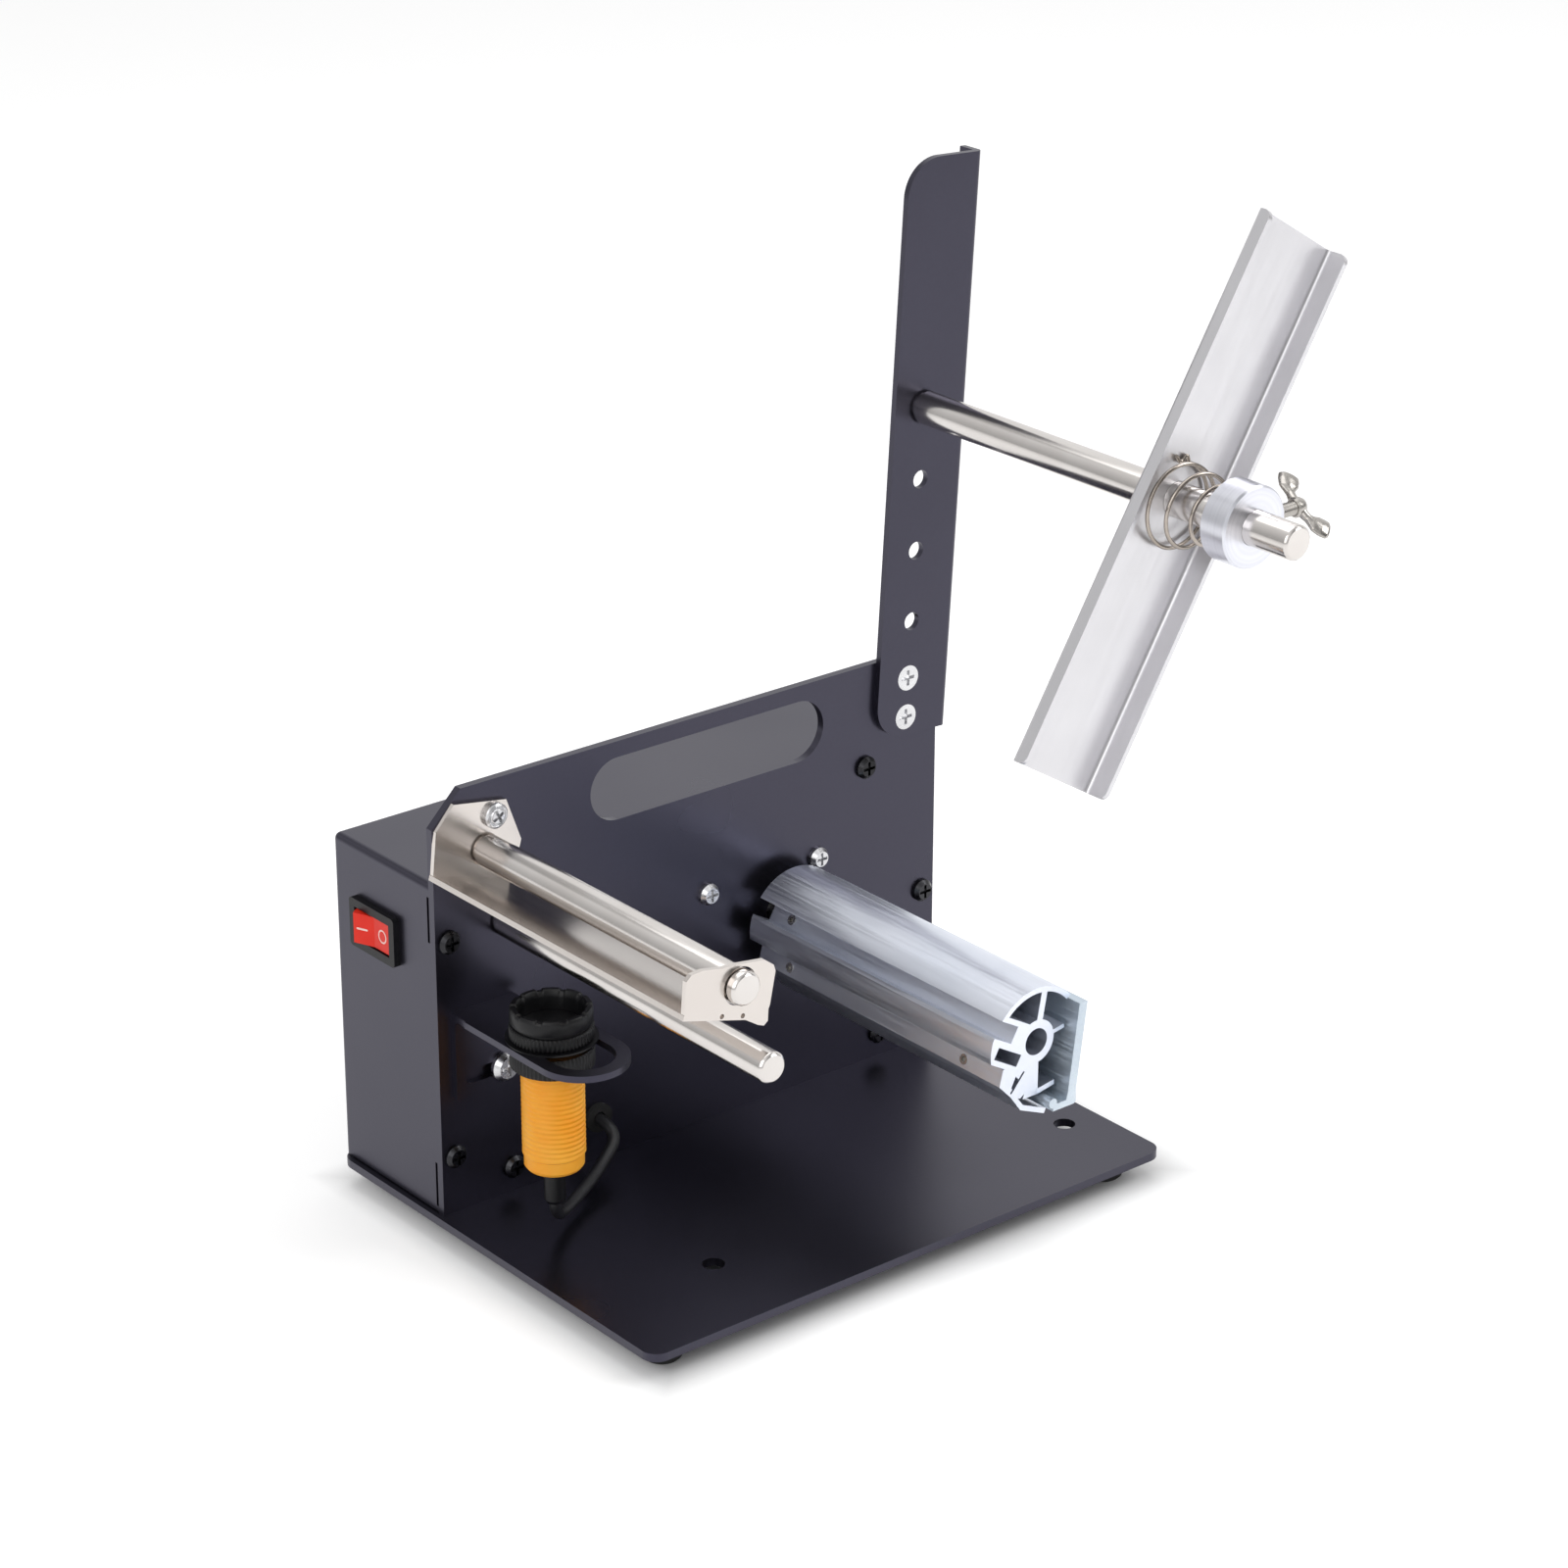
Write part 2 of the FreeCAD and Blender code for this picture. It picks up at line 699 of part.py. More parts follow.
def plate_angles():
    angle = new_body("Angle")
    drawing = sketch(angle, "YZ_Plane")
    outline(drawing, [
        ("0", "0"), ("angle_foot", "0"), ("angle_foot", "angle_sheet"), ("angle_sheet", "angle_sheet"),
        ("angle_sheet", "angle_leg"), ("0", "angle_leg"),
    ])
    pad(angle, drawing, "angle_width", both_ways=True)
    leg_hole = sketch(angle, "XZ_Plane")
    circle(leg_hole, "0", "angle_screw_rise", "black_screw_radius + hole_gap")
    pocket(angle, leg_hole)
    foot_hole = sketch(angle, "XY_Plane")
    circle(foot_hole, "0", "angle_foot * 0.6", "black_screw_radius + hole_gap")
    pocket(angle, foot_hole)
    spots = [facing(UP, x, "plate_back", "base_top") for x, z in PLATE_TO_ANGLES]
    copies("plate_angles", angle, spots)


# Front plate

def front_plate():
    body = new_body("FrontPlate")
    face = "-plate_front"
    top = "cover_top + plate_over"
    drawing = sketch(body, "XZ_Plane", face)
    outline(drawing, [
        ("plate_left", "base_top"), ("plate_right", "base_top"), ("plate_right", top),
        ("plate_left + plate_chamfer", top), ("plate_left", f"{top} - plate_chamfer"),
    ])
    pad(body, drawing, "plate_sheet", reverse=True)
    round_edges(body, "y", [("plate_right", top)], "plate_corner")
    handle = sketch(body, "XZ_Plane", face)
    half = "(handle_high - handle_low) / 2"
    round_slot(
        handle, f"plate_left + handle_left + {half}", f"plate_left + handle_right - {half}",
        "cover_top + (handle_low + handle_high) / 2", half,
    )
    pocket(body, handle)
    holes = sketch(body, "XZ_Plane", face)
    for x, z in PLATE_TO_COVER + PLATE_TO_ANGLES:
        circle(holes, x, z, "black_screw_radius + hole_gap")
    for x, z in UPRIGHT_SCREWS:
        circle(holes, x, z, "upright_screw_radius + hole_gap")
    for x, z in MOTOR_SCREWS:
        circle(holes, x, z, "motor_screw_radius + hole_gap")
    circle(holes, "rod_x", "rod_z", "rod_screw_radius + hole_gap")
    circle(holes, "guide_rod_x", "guide_rod_z", "rod_screw_radius + hole_gap")
    circle(holes, *PEEL_SCREW, "rod_screw_radius + hole_gap")
    circle(holes, *SENSOR_SCREW, "rod_screw_radius + hole_gap")
    circle(holes, "cable_hole_x", "cable_hole_z", "cable_hole_radius")
    circle(holes, "hub_x", "hub_z", "plate_shaft_hole")
    pocket(body, holes)
    node(body, "front_plate")


# Cover behind the plate, folded from one sheet

def cover():
    body = new_body("Cover")
    low = "base_top + cover_foot_gap"
    drawing = sketch(body, "XY_Plane", low)
    box_outline(drawing, "plate_left", "plate_back", "plate_right", "cover_back")
    pad(body, drawing, f"cover_top - ({low})")
    round_edges(body, "z", [("plate_left", "cover_back"), ("plate_right", "cover_back")], "cover_bend")
    top_edges = edges_along(body.Shape, "y", [("plate_left", "cover_top"), ("plate_right", "cover_top")])
    top_edges += edges_along(body.Shape, "x", [("cover_back", "cover_top")])
    dress(body, "Fillet", top_edges, "cover_bend")
    inside = sketch(body, "XY_Plane", low)
    box_outline(
        inside, "plate_left + cover_sheet", "plate_back + cover_sheet",
        "plate_right - cover_sheet", "cover_back - cover_sheet",
    )
    pocket(body, inside, f"cover_top - cover_sheet - ({low})", reverse=True)
    window = sketch(body, "XZ_Plane", "-plate_back")
    left, right = "plate_left + cover_flange", "plate_right - cover_flange"
    tab_left, tab_right = (f"plate_left + top_screw_across {side} cover_tab_half" for side in "-+")
    top, tab_low = "cover_top - cover_bend", "cover_top - cover_tab"
    outline(window, [
        (left, "base_top - 1"), (right, "base_top - 1"), (right, top), (tab_right, top), (tab_right, tab_low),
        (tab_left, tab_low), (tab_left, top), (left, top),
    ])
    pocket(body, window, "cover_sheet")
    foot = sketch(body, "XY_Plane", "base_top")
    box_outline(
        foot, "plate_left + cover_foot_screw_left - 15", "cover_back - cover_foot_flange",
        "plate_left + cover_foot_screw_right + 15", "cover_back",
    )
    pad(body, foot, "cover_sheet")
    foot_holes = sketch(body, "XY_Plane", "base_top - 1")
    for x, y in COVER_FEET:
        circle(foot_holes, x, y, "black_screw_radius + hole_gap")
    pocket(body, foot_holes, "cover_sheet + 2", reverse=True)
    flange_holes = sketch(body, "XZ_Plane", "-plate_back")
    for x, z in PLATE_TO_COVER:
        circle(flange_holes, x, z, "black_screw_radius + hole_gap")
    pocket(body, flange_holes, "cover_sheet + 1")
    notches = sketch(body, "YZ_Plane", "plate_left - 1")
    for start in ("cover_top - cover_bend - 2 - relief_height", "base_top + 2"):
        box_outline(notches, "plate_back - 1", start, "plate_back + relief_notch", f"{start} + relief_height")
    pocket(body, notches, "cover_sheet + 1", reverse=True)
    cut = sketch(body, "YZ_Plane", "plate_left - 1")
    half_y = "(switch_width / 2 - switch_body_margin)"
    half_z = "(switch_height / 2 - switch_body_margin)"
    box_outline(
        cut, f"switch_y - {half_y} - 0.1", f"switch_z - {half_z} - 0.1",
        f"switch_y + {half_y} + 0.1", f"switch_z + {half_z} + 0.1",
    )
    pocket(body, cut, "cover_sheet + 2", reverse=True)
    inlet = sketch(body, "XZ_Plane", "-(cover_back + 1)")
    circle(inlet, "plate_left + inlet_across", "base_top + inlet_rise", "inlet_radius - 1.4")
    pocket(body, inlet, "cover_sheet + 2", reverse=True)
    node(body, "cover")


# Upright and the parts on the reel shaft

def upright():
    body = new_body("Upright")
    drawing = sketch(body, "XZ_Plane", "-plate_front")
    box_outline(drawing, "0", "0", "upright_width", "upright_length")
    pad(body, drawing, "upright_sheet")
    flange = sketch(body, "XZ_Plane", "-upright_face")
    box_outline(flange, "upright_width - upright_sheet", "0", "upright_width", "upright_length")
    pad(body, flange, "upright_flange", reverse=True)
    round_edges(body, "y", [("0", "upright_length")], "upright_top_corner")
    round_edges(body, "y", [("0", "0")], "upright_low_corner")
    round_edges(body, "z", [("upright_width", "upright_face")], "0.9 * upright_sheet")
    holes = sketch(body, "XZ_Plane", "-plate_front")
    for step in range(3):
        along = f"upright_hole_first + {step} * upright_hole_pitch"
        circle(holes, "upright_hole_line", along, "upright_hole_radius")
    circle(holes, "upright_hole_line", "reel_along", "shaft_screw_radius + hole_gap")
    screw_heights = ("upright_screw_first", "upright_screw_first + upright_screw_pitch")
    for along in screw_heights:
        circle(holes, "upright_hole_line", along, "upright_screw_radius + hole_gap")
    pocket(body, holes)
    centres = [point("upright_hole_line", "upright_face", along) for along in screw_heights]
    countersinks = rims(body.Shape, worth("upright_screw_radius + hole_gap"), centres)
    dress(body, "Chamfer", countersinks, "upright_head_radius - upright_screw_radius - 0.05")
    place(body, "upright_corner_x", "0", "upright_corner_z", Y_AXIS, "upright_lean")
    node(body, "upright")


def reel_shaft():
    depth = "shaft_screw_length - upright_sheet + 1.5"
    bore = "shaft_screw_radius + thread_gap"
    body = turned("ReelShaft", [
        (bore, "0"), ("shaft_radius", "0"), ("shaft_radius", "shaft_length - shaft_chamfer"),
        ("shaft_radius - shaft_chamfer", "shaft_length"), ("0", "shaft_length"), ("0", depth), (bore, depth),
    ])
    place(body, "reel_x", "upright_face", "reel_z", X_AXIS, "90")
    node(body, "reel_shaft")


def reel_channel():
    body = new_body("ReelChannel")
    half, back = "channel_width / 2", "channel_y + channel_sheet"
    left_tip, right_tip = "channel_y - channel_left_flange", "channel_y - channel_right_flange"
    inner = f"{half} - channel_sheet"
    low = "-channel_length / 2 - channel_drop"
    drawing = sketch(body, "XY_Plane", low)
    outline(drawing, [
        (f"-{half}", back), (half, back), (half, right_tip), (inner, right_tip), (inner, "channel_y"),
        (f"-({inner})", "channel_y"), (f"-({inner})", left_tip), (f"-{half}", left_tip),
    ])
    pad(body, drawing, "channel_length")
    round_edges(body, "z", [(f"-{half}", back), (half, back)], "channel_bend")
    inside = [(f"-({inner})", "channel_y"), (inner, "channel_y")]
    round_edges(body, "z", inside, "channel_bend - channel_sheet")
    ends = [(tip, end) for tip in (left_tip, right_tip) for end in (low, f"{low} + channel_length")]
    round_edges(body, "x", ends, "channel_end_corner")
    bore = sketch(body, "XZ_Plane", "-channel_y")
    circle(bore, "0", "0", "shaft_radius + running_gap")
    pocket(body, bore)
    place(body, "reel_x", "0", "reel_z", Y_AXIS, "channel_tilt")
    node(body, "reel_channel")


def reel_spring():
    """A conical spring: its big end rests on the channel's web, its small end on the collar."""
    wire = worth("spring_wire / 2")
    big, small = worth("spring_big_radius"), worth("spring_small_radius")
    height = worth("spring_room - spring_wire - 2 * spring_end_gap")
    angle = math.degrees(math.atan((small - big) / height))
    path = Part.makeLongHelix(height / worth("spring_turns"), height, big, angle)
    section = Part.Wire(Part.Circle(FreeCAD.Vector(big, 0, 0), Y_AXIS, wire).toShape())
    spring = DOC.addObject("Part::Feature", "ReelSpring")
    spring.Shape = Part.Wire(path.Edges).makePipeShell([section], True, True)
    place(spring, "reel_x", "channel_y - spring_wire / 2 - spring_end_gap", "reel_z", X_AXIS, "90")
    node(spring, "reel_spring")


def collar():
    bore, edge = "shaft_radius + running_gap", "collar_chamfer"
    body = turned("Collar", [
        (bore, "0"), (f"collar_radius - {edge}", "0"), ("collar_radius", edge),
        ("collar_radius", f"collar_length - {edge}"), (f"collar_radius - {edge}", "collar_length"),
        (bore, "collar_length"),
    ])
    hole = sketch(body, "YZ_Plane")
    circle(hole, "0", "collar_length / 2", "wing_screw_radius + thread_gap")
    pocket(body, hole, "collar_radius + 1", reverse=True)
    place(body, "reel_x", "collar_y", "reel_z", X_AXIS, "90")
    node(body, "collar")


def wing_screw():
    tip, seat = "shaft_radius + 0.15", "collar_radius + wing_stem_out"
    body = turned("WingScrew", [
        ("0", tip), ("wing_screw_radius", tip), ("wing_screw_radius", seat), ("wing_hub_radius", seat),
        ("wing_hub_radius - 0.6", f"{seat} + wing_hub_length"), ("0", f"{seat} + wing_hub_length"),
    ])
    wings = sketch(body, "XZ_Plane")
    side = [
        ("2.2", "0.4"), ("0.7 * wing_span", "1.2"), ("wing_span", "0.55 * wing_rise"),
        ("0.9 * wing_span", "wing_rise"), ("0.55 * wing_span", "0.95 * wing_rise"),
        ("2.2", "0.5 * wing_rise"),
    ]
    ears = [(across, f"{seat} + {up}") for across, up in side]
    ears += [(f"-({across})", f"{seat} + {up}") for across, up in reversed(side)]
    outline(wings, ears)
    pad(body, wings, "wing_sheet", both_ways=True)
    round_edges(body, "y", [ears[2], ears[3], ears[-3], ears[-4]], "0.15 * wing_span")
    along = FreeCAD.Vector(0, worth("cos(wing_turn)"), worth("sin(wing_turn)"))
    turn = FreeCAD.Rotation(along, X_AXIS.cross(along), X_AXIS, "ZXY")
    body.Placement = FreeCAD.Placement(point("reel_x", "collar_y - collar_length / 2", "reel_z"), turn)
    node(body, "wing_screw")


# Peel bracket with its rods

# Outline corners of the bracket's two end flanges, across the plate and over the cover's top
PEEL_BACK_FLANGE = [
    (-1.1, 2.4), (0.4, 16.8), (6.7, 23.5), (24.3, 20.5), (29.1, 7.2), (28.6, 5.3), (24.6, -4.4),
]
PEEL_FRONT_FLANGE = [
    (-1.1, 2.9), (-0.3, 13.4), (1.4, 14.9), (5.2, 15.1), (11.6, 13.8), (16.1, 13.5), (21.4, 12.7),
    (25.6, 12.1), (28.6, 9.8), (29.2, 7.9), (27.3, -1.4), (26.8, -2.4), (26.6, -5.8), (25.3, -6.8),
    (23.3, -6.0), (19.0, -3.2),
]
# Small round reliefs at the ends of the front flange's bend
PEEL_RELIEFS = [(11.3, 0.1), (18.2, -1.8)]


def on_plate(spots):
    """Formulas of world x and z for spots given across the plate and over the cover's top."""
    return [(f"plate_left + {across}", f"cover_top + {over}") for across, over in spots]


def peel_bracket():
    body = new_body("PeelBracket")
    left, high = "plate_left - peel_overhang", "cover_top + peel_edge_over"
    right = f"{left} + peel_floor_width * cos(peel_slope)"
    low = f"{high} - peel_floor_width * sin(peel_slope)"
    shift_x, shift_z = "peel_sheet * sin(peel_slope)", "peel_sheet * cos(peel_slope)"
    floor = sketch(body, "XZ_Plane", "-plate_front")
    outline(floor, [
        (left, high), (f"{left} - {shift_x}", f"{high} - {shift_z}"),
        (f"{right} - {shift_x}", f"{low} - {shift_z}"), (right, low),
    ])
    pad(body, floor, "peel_length")
    back = sketch(body, "XZ_Plane", "-plate_front")
    outline(back, on_plate(PEEL_BACK_FLANGE))
    pad(body, back, "peel_sheet")
    front = sketch(body, "XZ_Plane", "peel_length - plate_front")
    outline(front, on_plate(PEEL_FRONT_FLANGE))
    pad(body, front, "peel_sheet", reverse=True)
    holes = sketch(body, "XZ_Plane", "-plate_front")
    circle(holes, *PEEL_SCREW, "rod_screw_radius + hole_gap")
    circle(holes, "rod_x", "rod_z", "rod_screw_radius + hole_gap")
    pocket(body, holes, "2 * peel_sheet", reverse=True)
    rod_hole = sketch(body, "XZ_Plane", "peel_length - plate_front + 1")
    circle(rod_hole, "rod_x", "rod_z", "rod_radius + rod_hole_gap")
    pocket(body, rod_hole, "peel_sheet + 2")
    reliefs = sketch(body, "XZ_Plane", "peel_length - plate_front + 1")
    for x, z in on_plate(PEEL_RELIEFS):
        circle(reliefs, x, z, "peel_relief_radius")
    pocket(body, reliefs, "peel_sheet + 1")
    node(body, "peel_bracket")


def rod(name, radius, length, x, y, z):
    """A rod that stands out of the front plate, with a threaded hole in its foot."""
    bore, depth = "rod_screw_radius + thread_gap", "rod_screw_length"
    body = turned(name, [
        (bore, "0"), (radius, "0"), (radius, f"({length}) - rod_chamfer"),
        (f"{radius} - rod_chamfer", length), ("0", length), ("0", depth), (bore, depth),
    ])
    place(body, x, y, z, X_AXIS, "90")
    return body


def rods():
    foot = "plate_front - peel_sheet"
    node(rod("UpperRod", "rod_radius", "rod_length - peel_sheet", "rod_x", foot, "rod_z"), "upper_rod")
    lower = rod(
        "LowerRod", "guide_rod_radius", "guide_rod_length", "guide_rod_x", "plate_front", "guide_rod_z",
    )
    node(lower, "lower_guide_rod")


# Label sensor

def sensor_bracket():
    body = new_body("SensorBracket")
    low = "sensor_plate_top - sensor_sheet"
    tip = "plate_front - sensor_plate_ahead"
    shoulder = "plate_front - sensor_sheet - 5"
    drawing = sketch(body, "XY_Plane", low)
    box_outline(drawing, "sensor_x - sensor_plate_radius", tip, "sensor_x + sensor_plate_radius", shoulder)
    pad(body, drawing, "sensor_sheet")
    end = sketch(body, "XY_Plane", low)
    circle(end, "sensor_x", tip, "sensor_plate_radius")
    pad(body, end, "sensor_sheet")
    neck = sketch(body, "XY_Plane", low)
    box_outline(
        neck, "plate_left + sensor_neck_left", f"{shoulder} - 2",
        "plate_left + sensor_neck_right", "plate_front",
    )
    pad(body, neck, "sensor_sheet")
    flange = sketch(body, "XZ_Plane", "-plate_front")
    box_outline(
        flange, "plate_left + sensor_neck_left", "base_top + sensor_flange_rise",
        "plate_left + sensor_neck_right", "sensor_plate_top",
    )
    pad(body, flange, "sensor_sheet")
    bend = edges_along(body.Shape, "x", [("plate_front - sensor_sheet", low)])
    dress(body, "Fillet", bend, "0.5 * sensor_sheet")
    slot = sketch(body, "XY_Plane", low)
    round_slot(slot, tip, "sensor_y", "sensor_x", "sensor_radius + sensor_slot_gap", upright=True)
    pocket(body, slot)
    screw_slot = sketch(body, "XZ_Plane", "-plate_front")
    round_slot(
        screw_slot, "plate_left + sensor_slot_left + sensor_slot_radius",
        "plate_left + sensor_slot_right - sensor_slot_radius + 1.5",
        "base_top + sensor_screw_rise", "rod_screw_radius + 0.2",
    )
    pocket(body, screw_slot, "2 * sensor_sheet", reverse=True)
    node(body, "sensor_bracket")


def sensor():
    top, low = "base_top + sensor_top_rise", "base_top + sensor_low_rise"
    barrel = turned("SensorBarrel", [
        ("0", low), ("0.88 * sensor_radius", low), ("0.95 * sensor_radius", f"{low} + 0.1 * sensor_radius"),
        ("0.95 * sensor_radius", f"{low} + sensor_end_step"),
        ("sensor_radius", f"{low} + sensor_end_step + 0.05 * sensor_radius"), ("sensor_radius", top),
        ("0", top),
    ])
    place(barrel, "sensor_x", "sensor_y", "0")
    node(barrel, "sensor_barrel")
    lens = turned("SensorLens", [
        ("0", top), ("sensor_window_radius", top),
        ("sensor_window_radius", f"{top} + sensor_window_height"), ("0", f"{top} + sensor_window_height"),
    ])
    place(lens, "sensor_x", "sensor_y", "0")
    node(lens, "sensor_lens")
    bore = "sensor_radius + thread_gap"
    upper = ring_nut("SensorUpperNut", bore, "sensor_nut_radius", "sensor_collar_height")
    place(upper, "sensor_x", "sensor_y", "sensor_plate_top")
    node(upper, "sensor_upper_nut")
    lower = ring_nut("SensorLowerNut", bore, "sensor_nut_radius", "sensor_nut_height")
    place(lower, "sensor_x", "sensor_y", "sensor_plate_top - sensor_sheet - sensor_nut_height")
    node(lower, "sensor_lower_nut")
    stub_low = "base_top + sensor_stub_low"
    stub = turned("SensorStub", [
        ("0", stub_low), ("sensor_stub_radius - 0.6", stub_low), ("sensor_stub_radius", f"{stub_low} + 1"),
        ("sensor_stub_radius", low), ("0", low),
    ])
    place(stub, "sensor_x", "sensor_y", "0")
    node(stub, "sensor_cable_stub")


# Cable route in millimetres, across, ahead and rise on the front plate
CABLE_ROUTE = [
    (17.5, 30.0, 11.7), (17.5, 30.0, 6.6), (27.0, 23.3, 4.9), (37.0, 16.8, 6.3), (46.0, 10.9, 8.7),
    (53.4, 7.4, 12.2), (55.0, 4.2, 13.9), (55.0, -9.5, 13.9),
]


def tube(spots, radius):
    """A tube along straight runs joined by tangent arcs, and its volume against section times length."""
    edges = []
    start = spots[0]
    for before, corner, after in zip(spots, spots[1:], spots[2:]):
        inward, outward = (corner - before), (after - corner)
        shorter = min(inward.Length, outward.Length)
        turn = inward.getAngle(outward)
        reach = 0.45 * shorter
        bend = reach / math.tan(turn / 2)
        inward.normalize()
        outward.normalize()
        begin, finish = corner - inward * reach, corner + outward * reach
        middle = corner + (outward - inward).normalize() * (bend / math.cos(turn / 2) - bend)
        edges.append(Part.LineSegment(start, begin).toShape())
        edges.append(Part.Arc(begin, middle, finish).toShape())
        print(f"cable bend radius {bend:.1f} mm")
        start = finish
    edges.append(Part.LineSegment(start, spots[-1]).toShape())
    path = Part.Wire(edges)
    section = Part.Wire(Part.Circle(spots[0], spots[1] - spots[0], radius).toShape())
    shape = path.makePipeShell([section], True, True)
    expected = math.pi * radius ** 2 * path.Length
    print(f"cable {path.Length:.1f} mm long, volume {shape.Volume / expected:.4f} of section times length")
    return shape


def sensor_cable():
    spots = [
        point(f"plate_left + {across}", f"plate_front - {ahead}", f"base_top + {rise}")
        for across, ahead, rise in CABLE_ROUTE
    ]
    cable = DOC.addObject("Part::Feature", "SensorCable")
    cable.Shape = tube(spots, worth("cable_radius"))
    node(cable, "sensor_cable")
    bore, hole, rim = "cable_radius + 0.1", "cable_hole_radius - 0.05", "cable_hole_radius + grommet_rim"
    grommet = turned("CableGrommet", [
        (bore, "-grommet_flange"), (rim, "-grommet_flange"), (rim, "0"), (hole, "0"), (hole, "plate_sheet"),
        (rim, "plate_sheet"), (rim, "plate_sheet + grommet_flange"), (bore, "plate_sheet + grommet_flange"),
    ])
    place(grommet, "cable_hole_x", "plate_front", "cable_hole_z", X_AXIS, "-90")
    node(grommet, "cable_grommet")


# Rocker switch in the cover's left wall

def switch():
    body = new_body("SwitchHousing")
    rim = sketch(body, "YZ_Plane", "plate_left")
    box_outline(
        rim, "switch_y - switch_width / 2", "switch_z - switch_height / 2",
        "switch_y + switch_width / 2", "switch_z + switch_height / 2",
    )
    pad(body, rim, "switch_rim", reverse=True)
    corners = [
        (f"switch_y + {side} * switch_width / 2", f"switch_z + {end} * switch_height / 2")
        for side in (-1, 1) for end in (-1, 1)
    ]
    round_edges(body, "x", corners, "switch_corner")
    inner = sketch(body, "YZ_Plane", "plate_left")
    half_y, half_z = "(switch_width / 2 - switch_body_margin)", "(switch_height / 2 - switch_body_margin)"
    box_outline(
        inner, f"switch_y - {half_y}", f"switch_z - {half_z}", f"switch_y + {half_y}", f"switch_z + {half_z}",
    )
    pad(body, inner, "switch_body_depth")
    well = sketch(body, "YZ_Plane", "plate_left - switch_rim")
    well_y, well_z = f"({half_y} - switch_wall + 0.4)", f"({half_z} - switch_wall + 0.4)"
    box_outline(
        well, f"switch_y - {well_y}", f"switch_z - {well_z}", f"switch_y + {well_y}", f"switch_z + {well_z}",
    )
    pocket(body, well, "switch_rim + 0.7 * switch_body_depth", reverse=True)
    pin_hole = sketch(body, "XY_Plane", "switch_z")
    circle(pin_hole, "plate_left + switch_pin_depth", "switch_y", "switch_pin_radius + 0.02")
    pocket(body, pin_hole)
    node(body, "switch_housing")

    rocker = new_body("SwitchRocker")
    drum_radius = f"({well_y} - rocker_gap)"
    thickness = f"2 * ({well_z} - rocker_gap)"
    drum = sketch(rocker, "XY_Plane")
    circle(drum, "0", "0", drum_radius)
    pad(rocker, drum, thickness, both_ways=True)
    far = f"{drum_radius} + 1"
    top = sketch(rocker, "XY_Plane")
    rise = f"({far}) * tan(rocker_tilt)"
    outline(top, [
        ("-rocker_face", "0"), (f"-rocker_face - {rise}", far), (f"-({far}) - 4", far),
        (f"-({far}) - 4", f"-({far})"), (f"-rocker_face - {rise}", f"-({far})"),
    ])
    pocket(rocker, top)
    bottom = sketch(rocker, "XY_Plane")
    box_outline(bottom, "rocker_back", f"-({far})", f"{far} + 4", far)
    pocket(rocker, bottom)
    bore = sketch(rocker, "XY_Plane")
    circle(bore, "0", "0", "switch_pin_radius + running_gap")
    pocket(rocker, bore)
    place(rocker, "plate_left + switch_pin_depth", "switch_y", "switch_z", Z_AXIS, "rocker_tilt")
    node(rocker, "switch_rocker")

    pin_length = "switch_height - 2 * switch_body_margin"
    pin = turned("RockerPin", [
        ("0", f"-({pin_length}) / 2"),
        ("switch_pin_radius", f"-({pin_length}) / 2"), ("switch_pin_radius", f"({pin_length}) / 2"),
        ("0", f"({pin_length}) / 2"),
    ])
    place(pin, "plate_left + switch_pin_depth", "switch_y", "switch_z")
    node(pin, "rocker_pin")


# Gear motor behind the front plate

def gear_motor():
    body = new_body("Gearbox")
    half_w, half_h = "gearbox_width / 2", "gearbox_height / 2"
    block = sketch(body, "XZ_Plane", "-plate_back")
    box_outline(
        block, f"gearbox_x - {half_w}", f"hub_z - {half_h}", f"gearbox_x + {half_w}", f"hub_z + {half_h}",
    )
    pad(body, block, "gearbox_depth", reverse=True)
    corners = [
        (f"gearbox_x + {side} * {half_w}", f"hub_z + {end} * {half_h}") for side in (-1, 1) for end in (-1, 1)
    ]
    round_edges(body, "y", corners, "gearbox_corner")
    bores = sketch(body, "XZ_Plane", "-plate_back")
    circle(bores, "hub_x", "hub_z", "motor_shaft_radius + running_gap")
    for x, z in MOTOR_SCREWS:
        circle(bores, x, z, "motor_screw_radius + thread_gap")
    pocket(body, bores, "0.75 * gearbox_depth")
    node(body, "gearbox")

    side, middle = f"gearbox_x - {half_w}", "plate_back + motor_radius + 2"
    can = turned("Motor", [
        ("0", "0"), ("motor_radius", "0"), ("motor_radius", "motor_length - 1.5"),
        ("motor_radius - 1.5", "motor_length"), ("4", "motor_length"), ("4", "motor_length + 2.5"),
        ("0", "motor_length + 2.5"),
    ])
    place(can, side, middle, "hub_z", Y_AXIS, "-90")
    node(can, "motor")

    shaft = turned("MotorShaft", [
        ("0", "0"), ("motor_shaft_radius - 0.5", "0"), ("motor_shaft_radius", "0.5"),
        ("motor_shaft_radius", "shaft_reach - 0.5"), ("motor_shaft_radius - 0.5", "shaft_reach"),
        ("0", "shaft_reach"),
    ])
    place(shaft, "hub_x", "plate_back + 0.7 * gearbox_depth", "hub_z", X_AXIS, "90")
    node(shaft, "motor_shaft")


# Winding spool: an extruded section with a clamp bar hinged on a bead in its lower groove

def drawn(value):
    """A length of the spool's section at its real size."""
    return value * worth("spool_radius") / DRAWN_RADIUS


def flat_face(spots):
    """A flat face in the XZ plane through corners of the section."""
    corners = [FreeCAD.Vector(drawn(x), 0, drawn(z)) for x, z in spots]
    return Part.Face(Part.makePolygon(corners + corners[:1]))


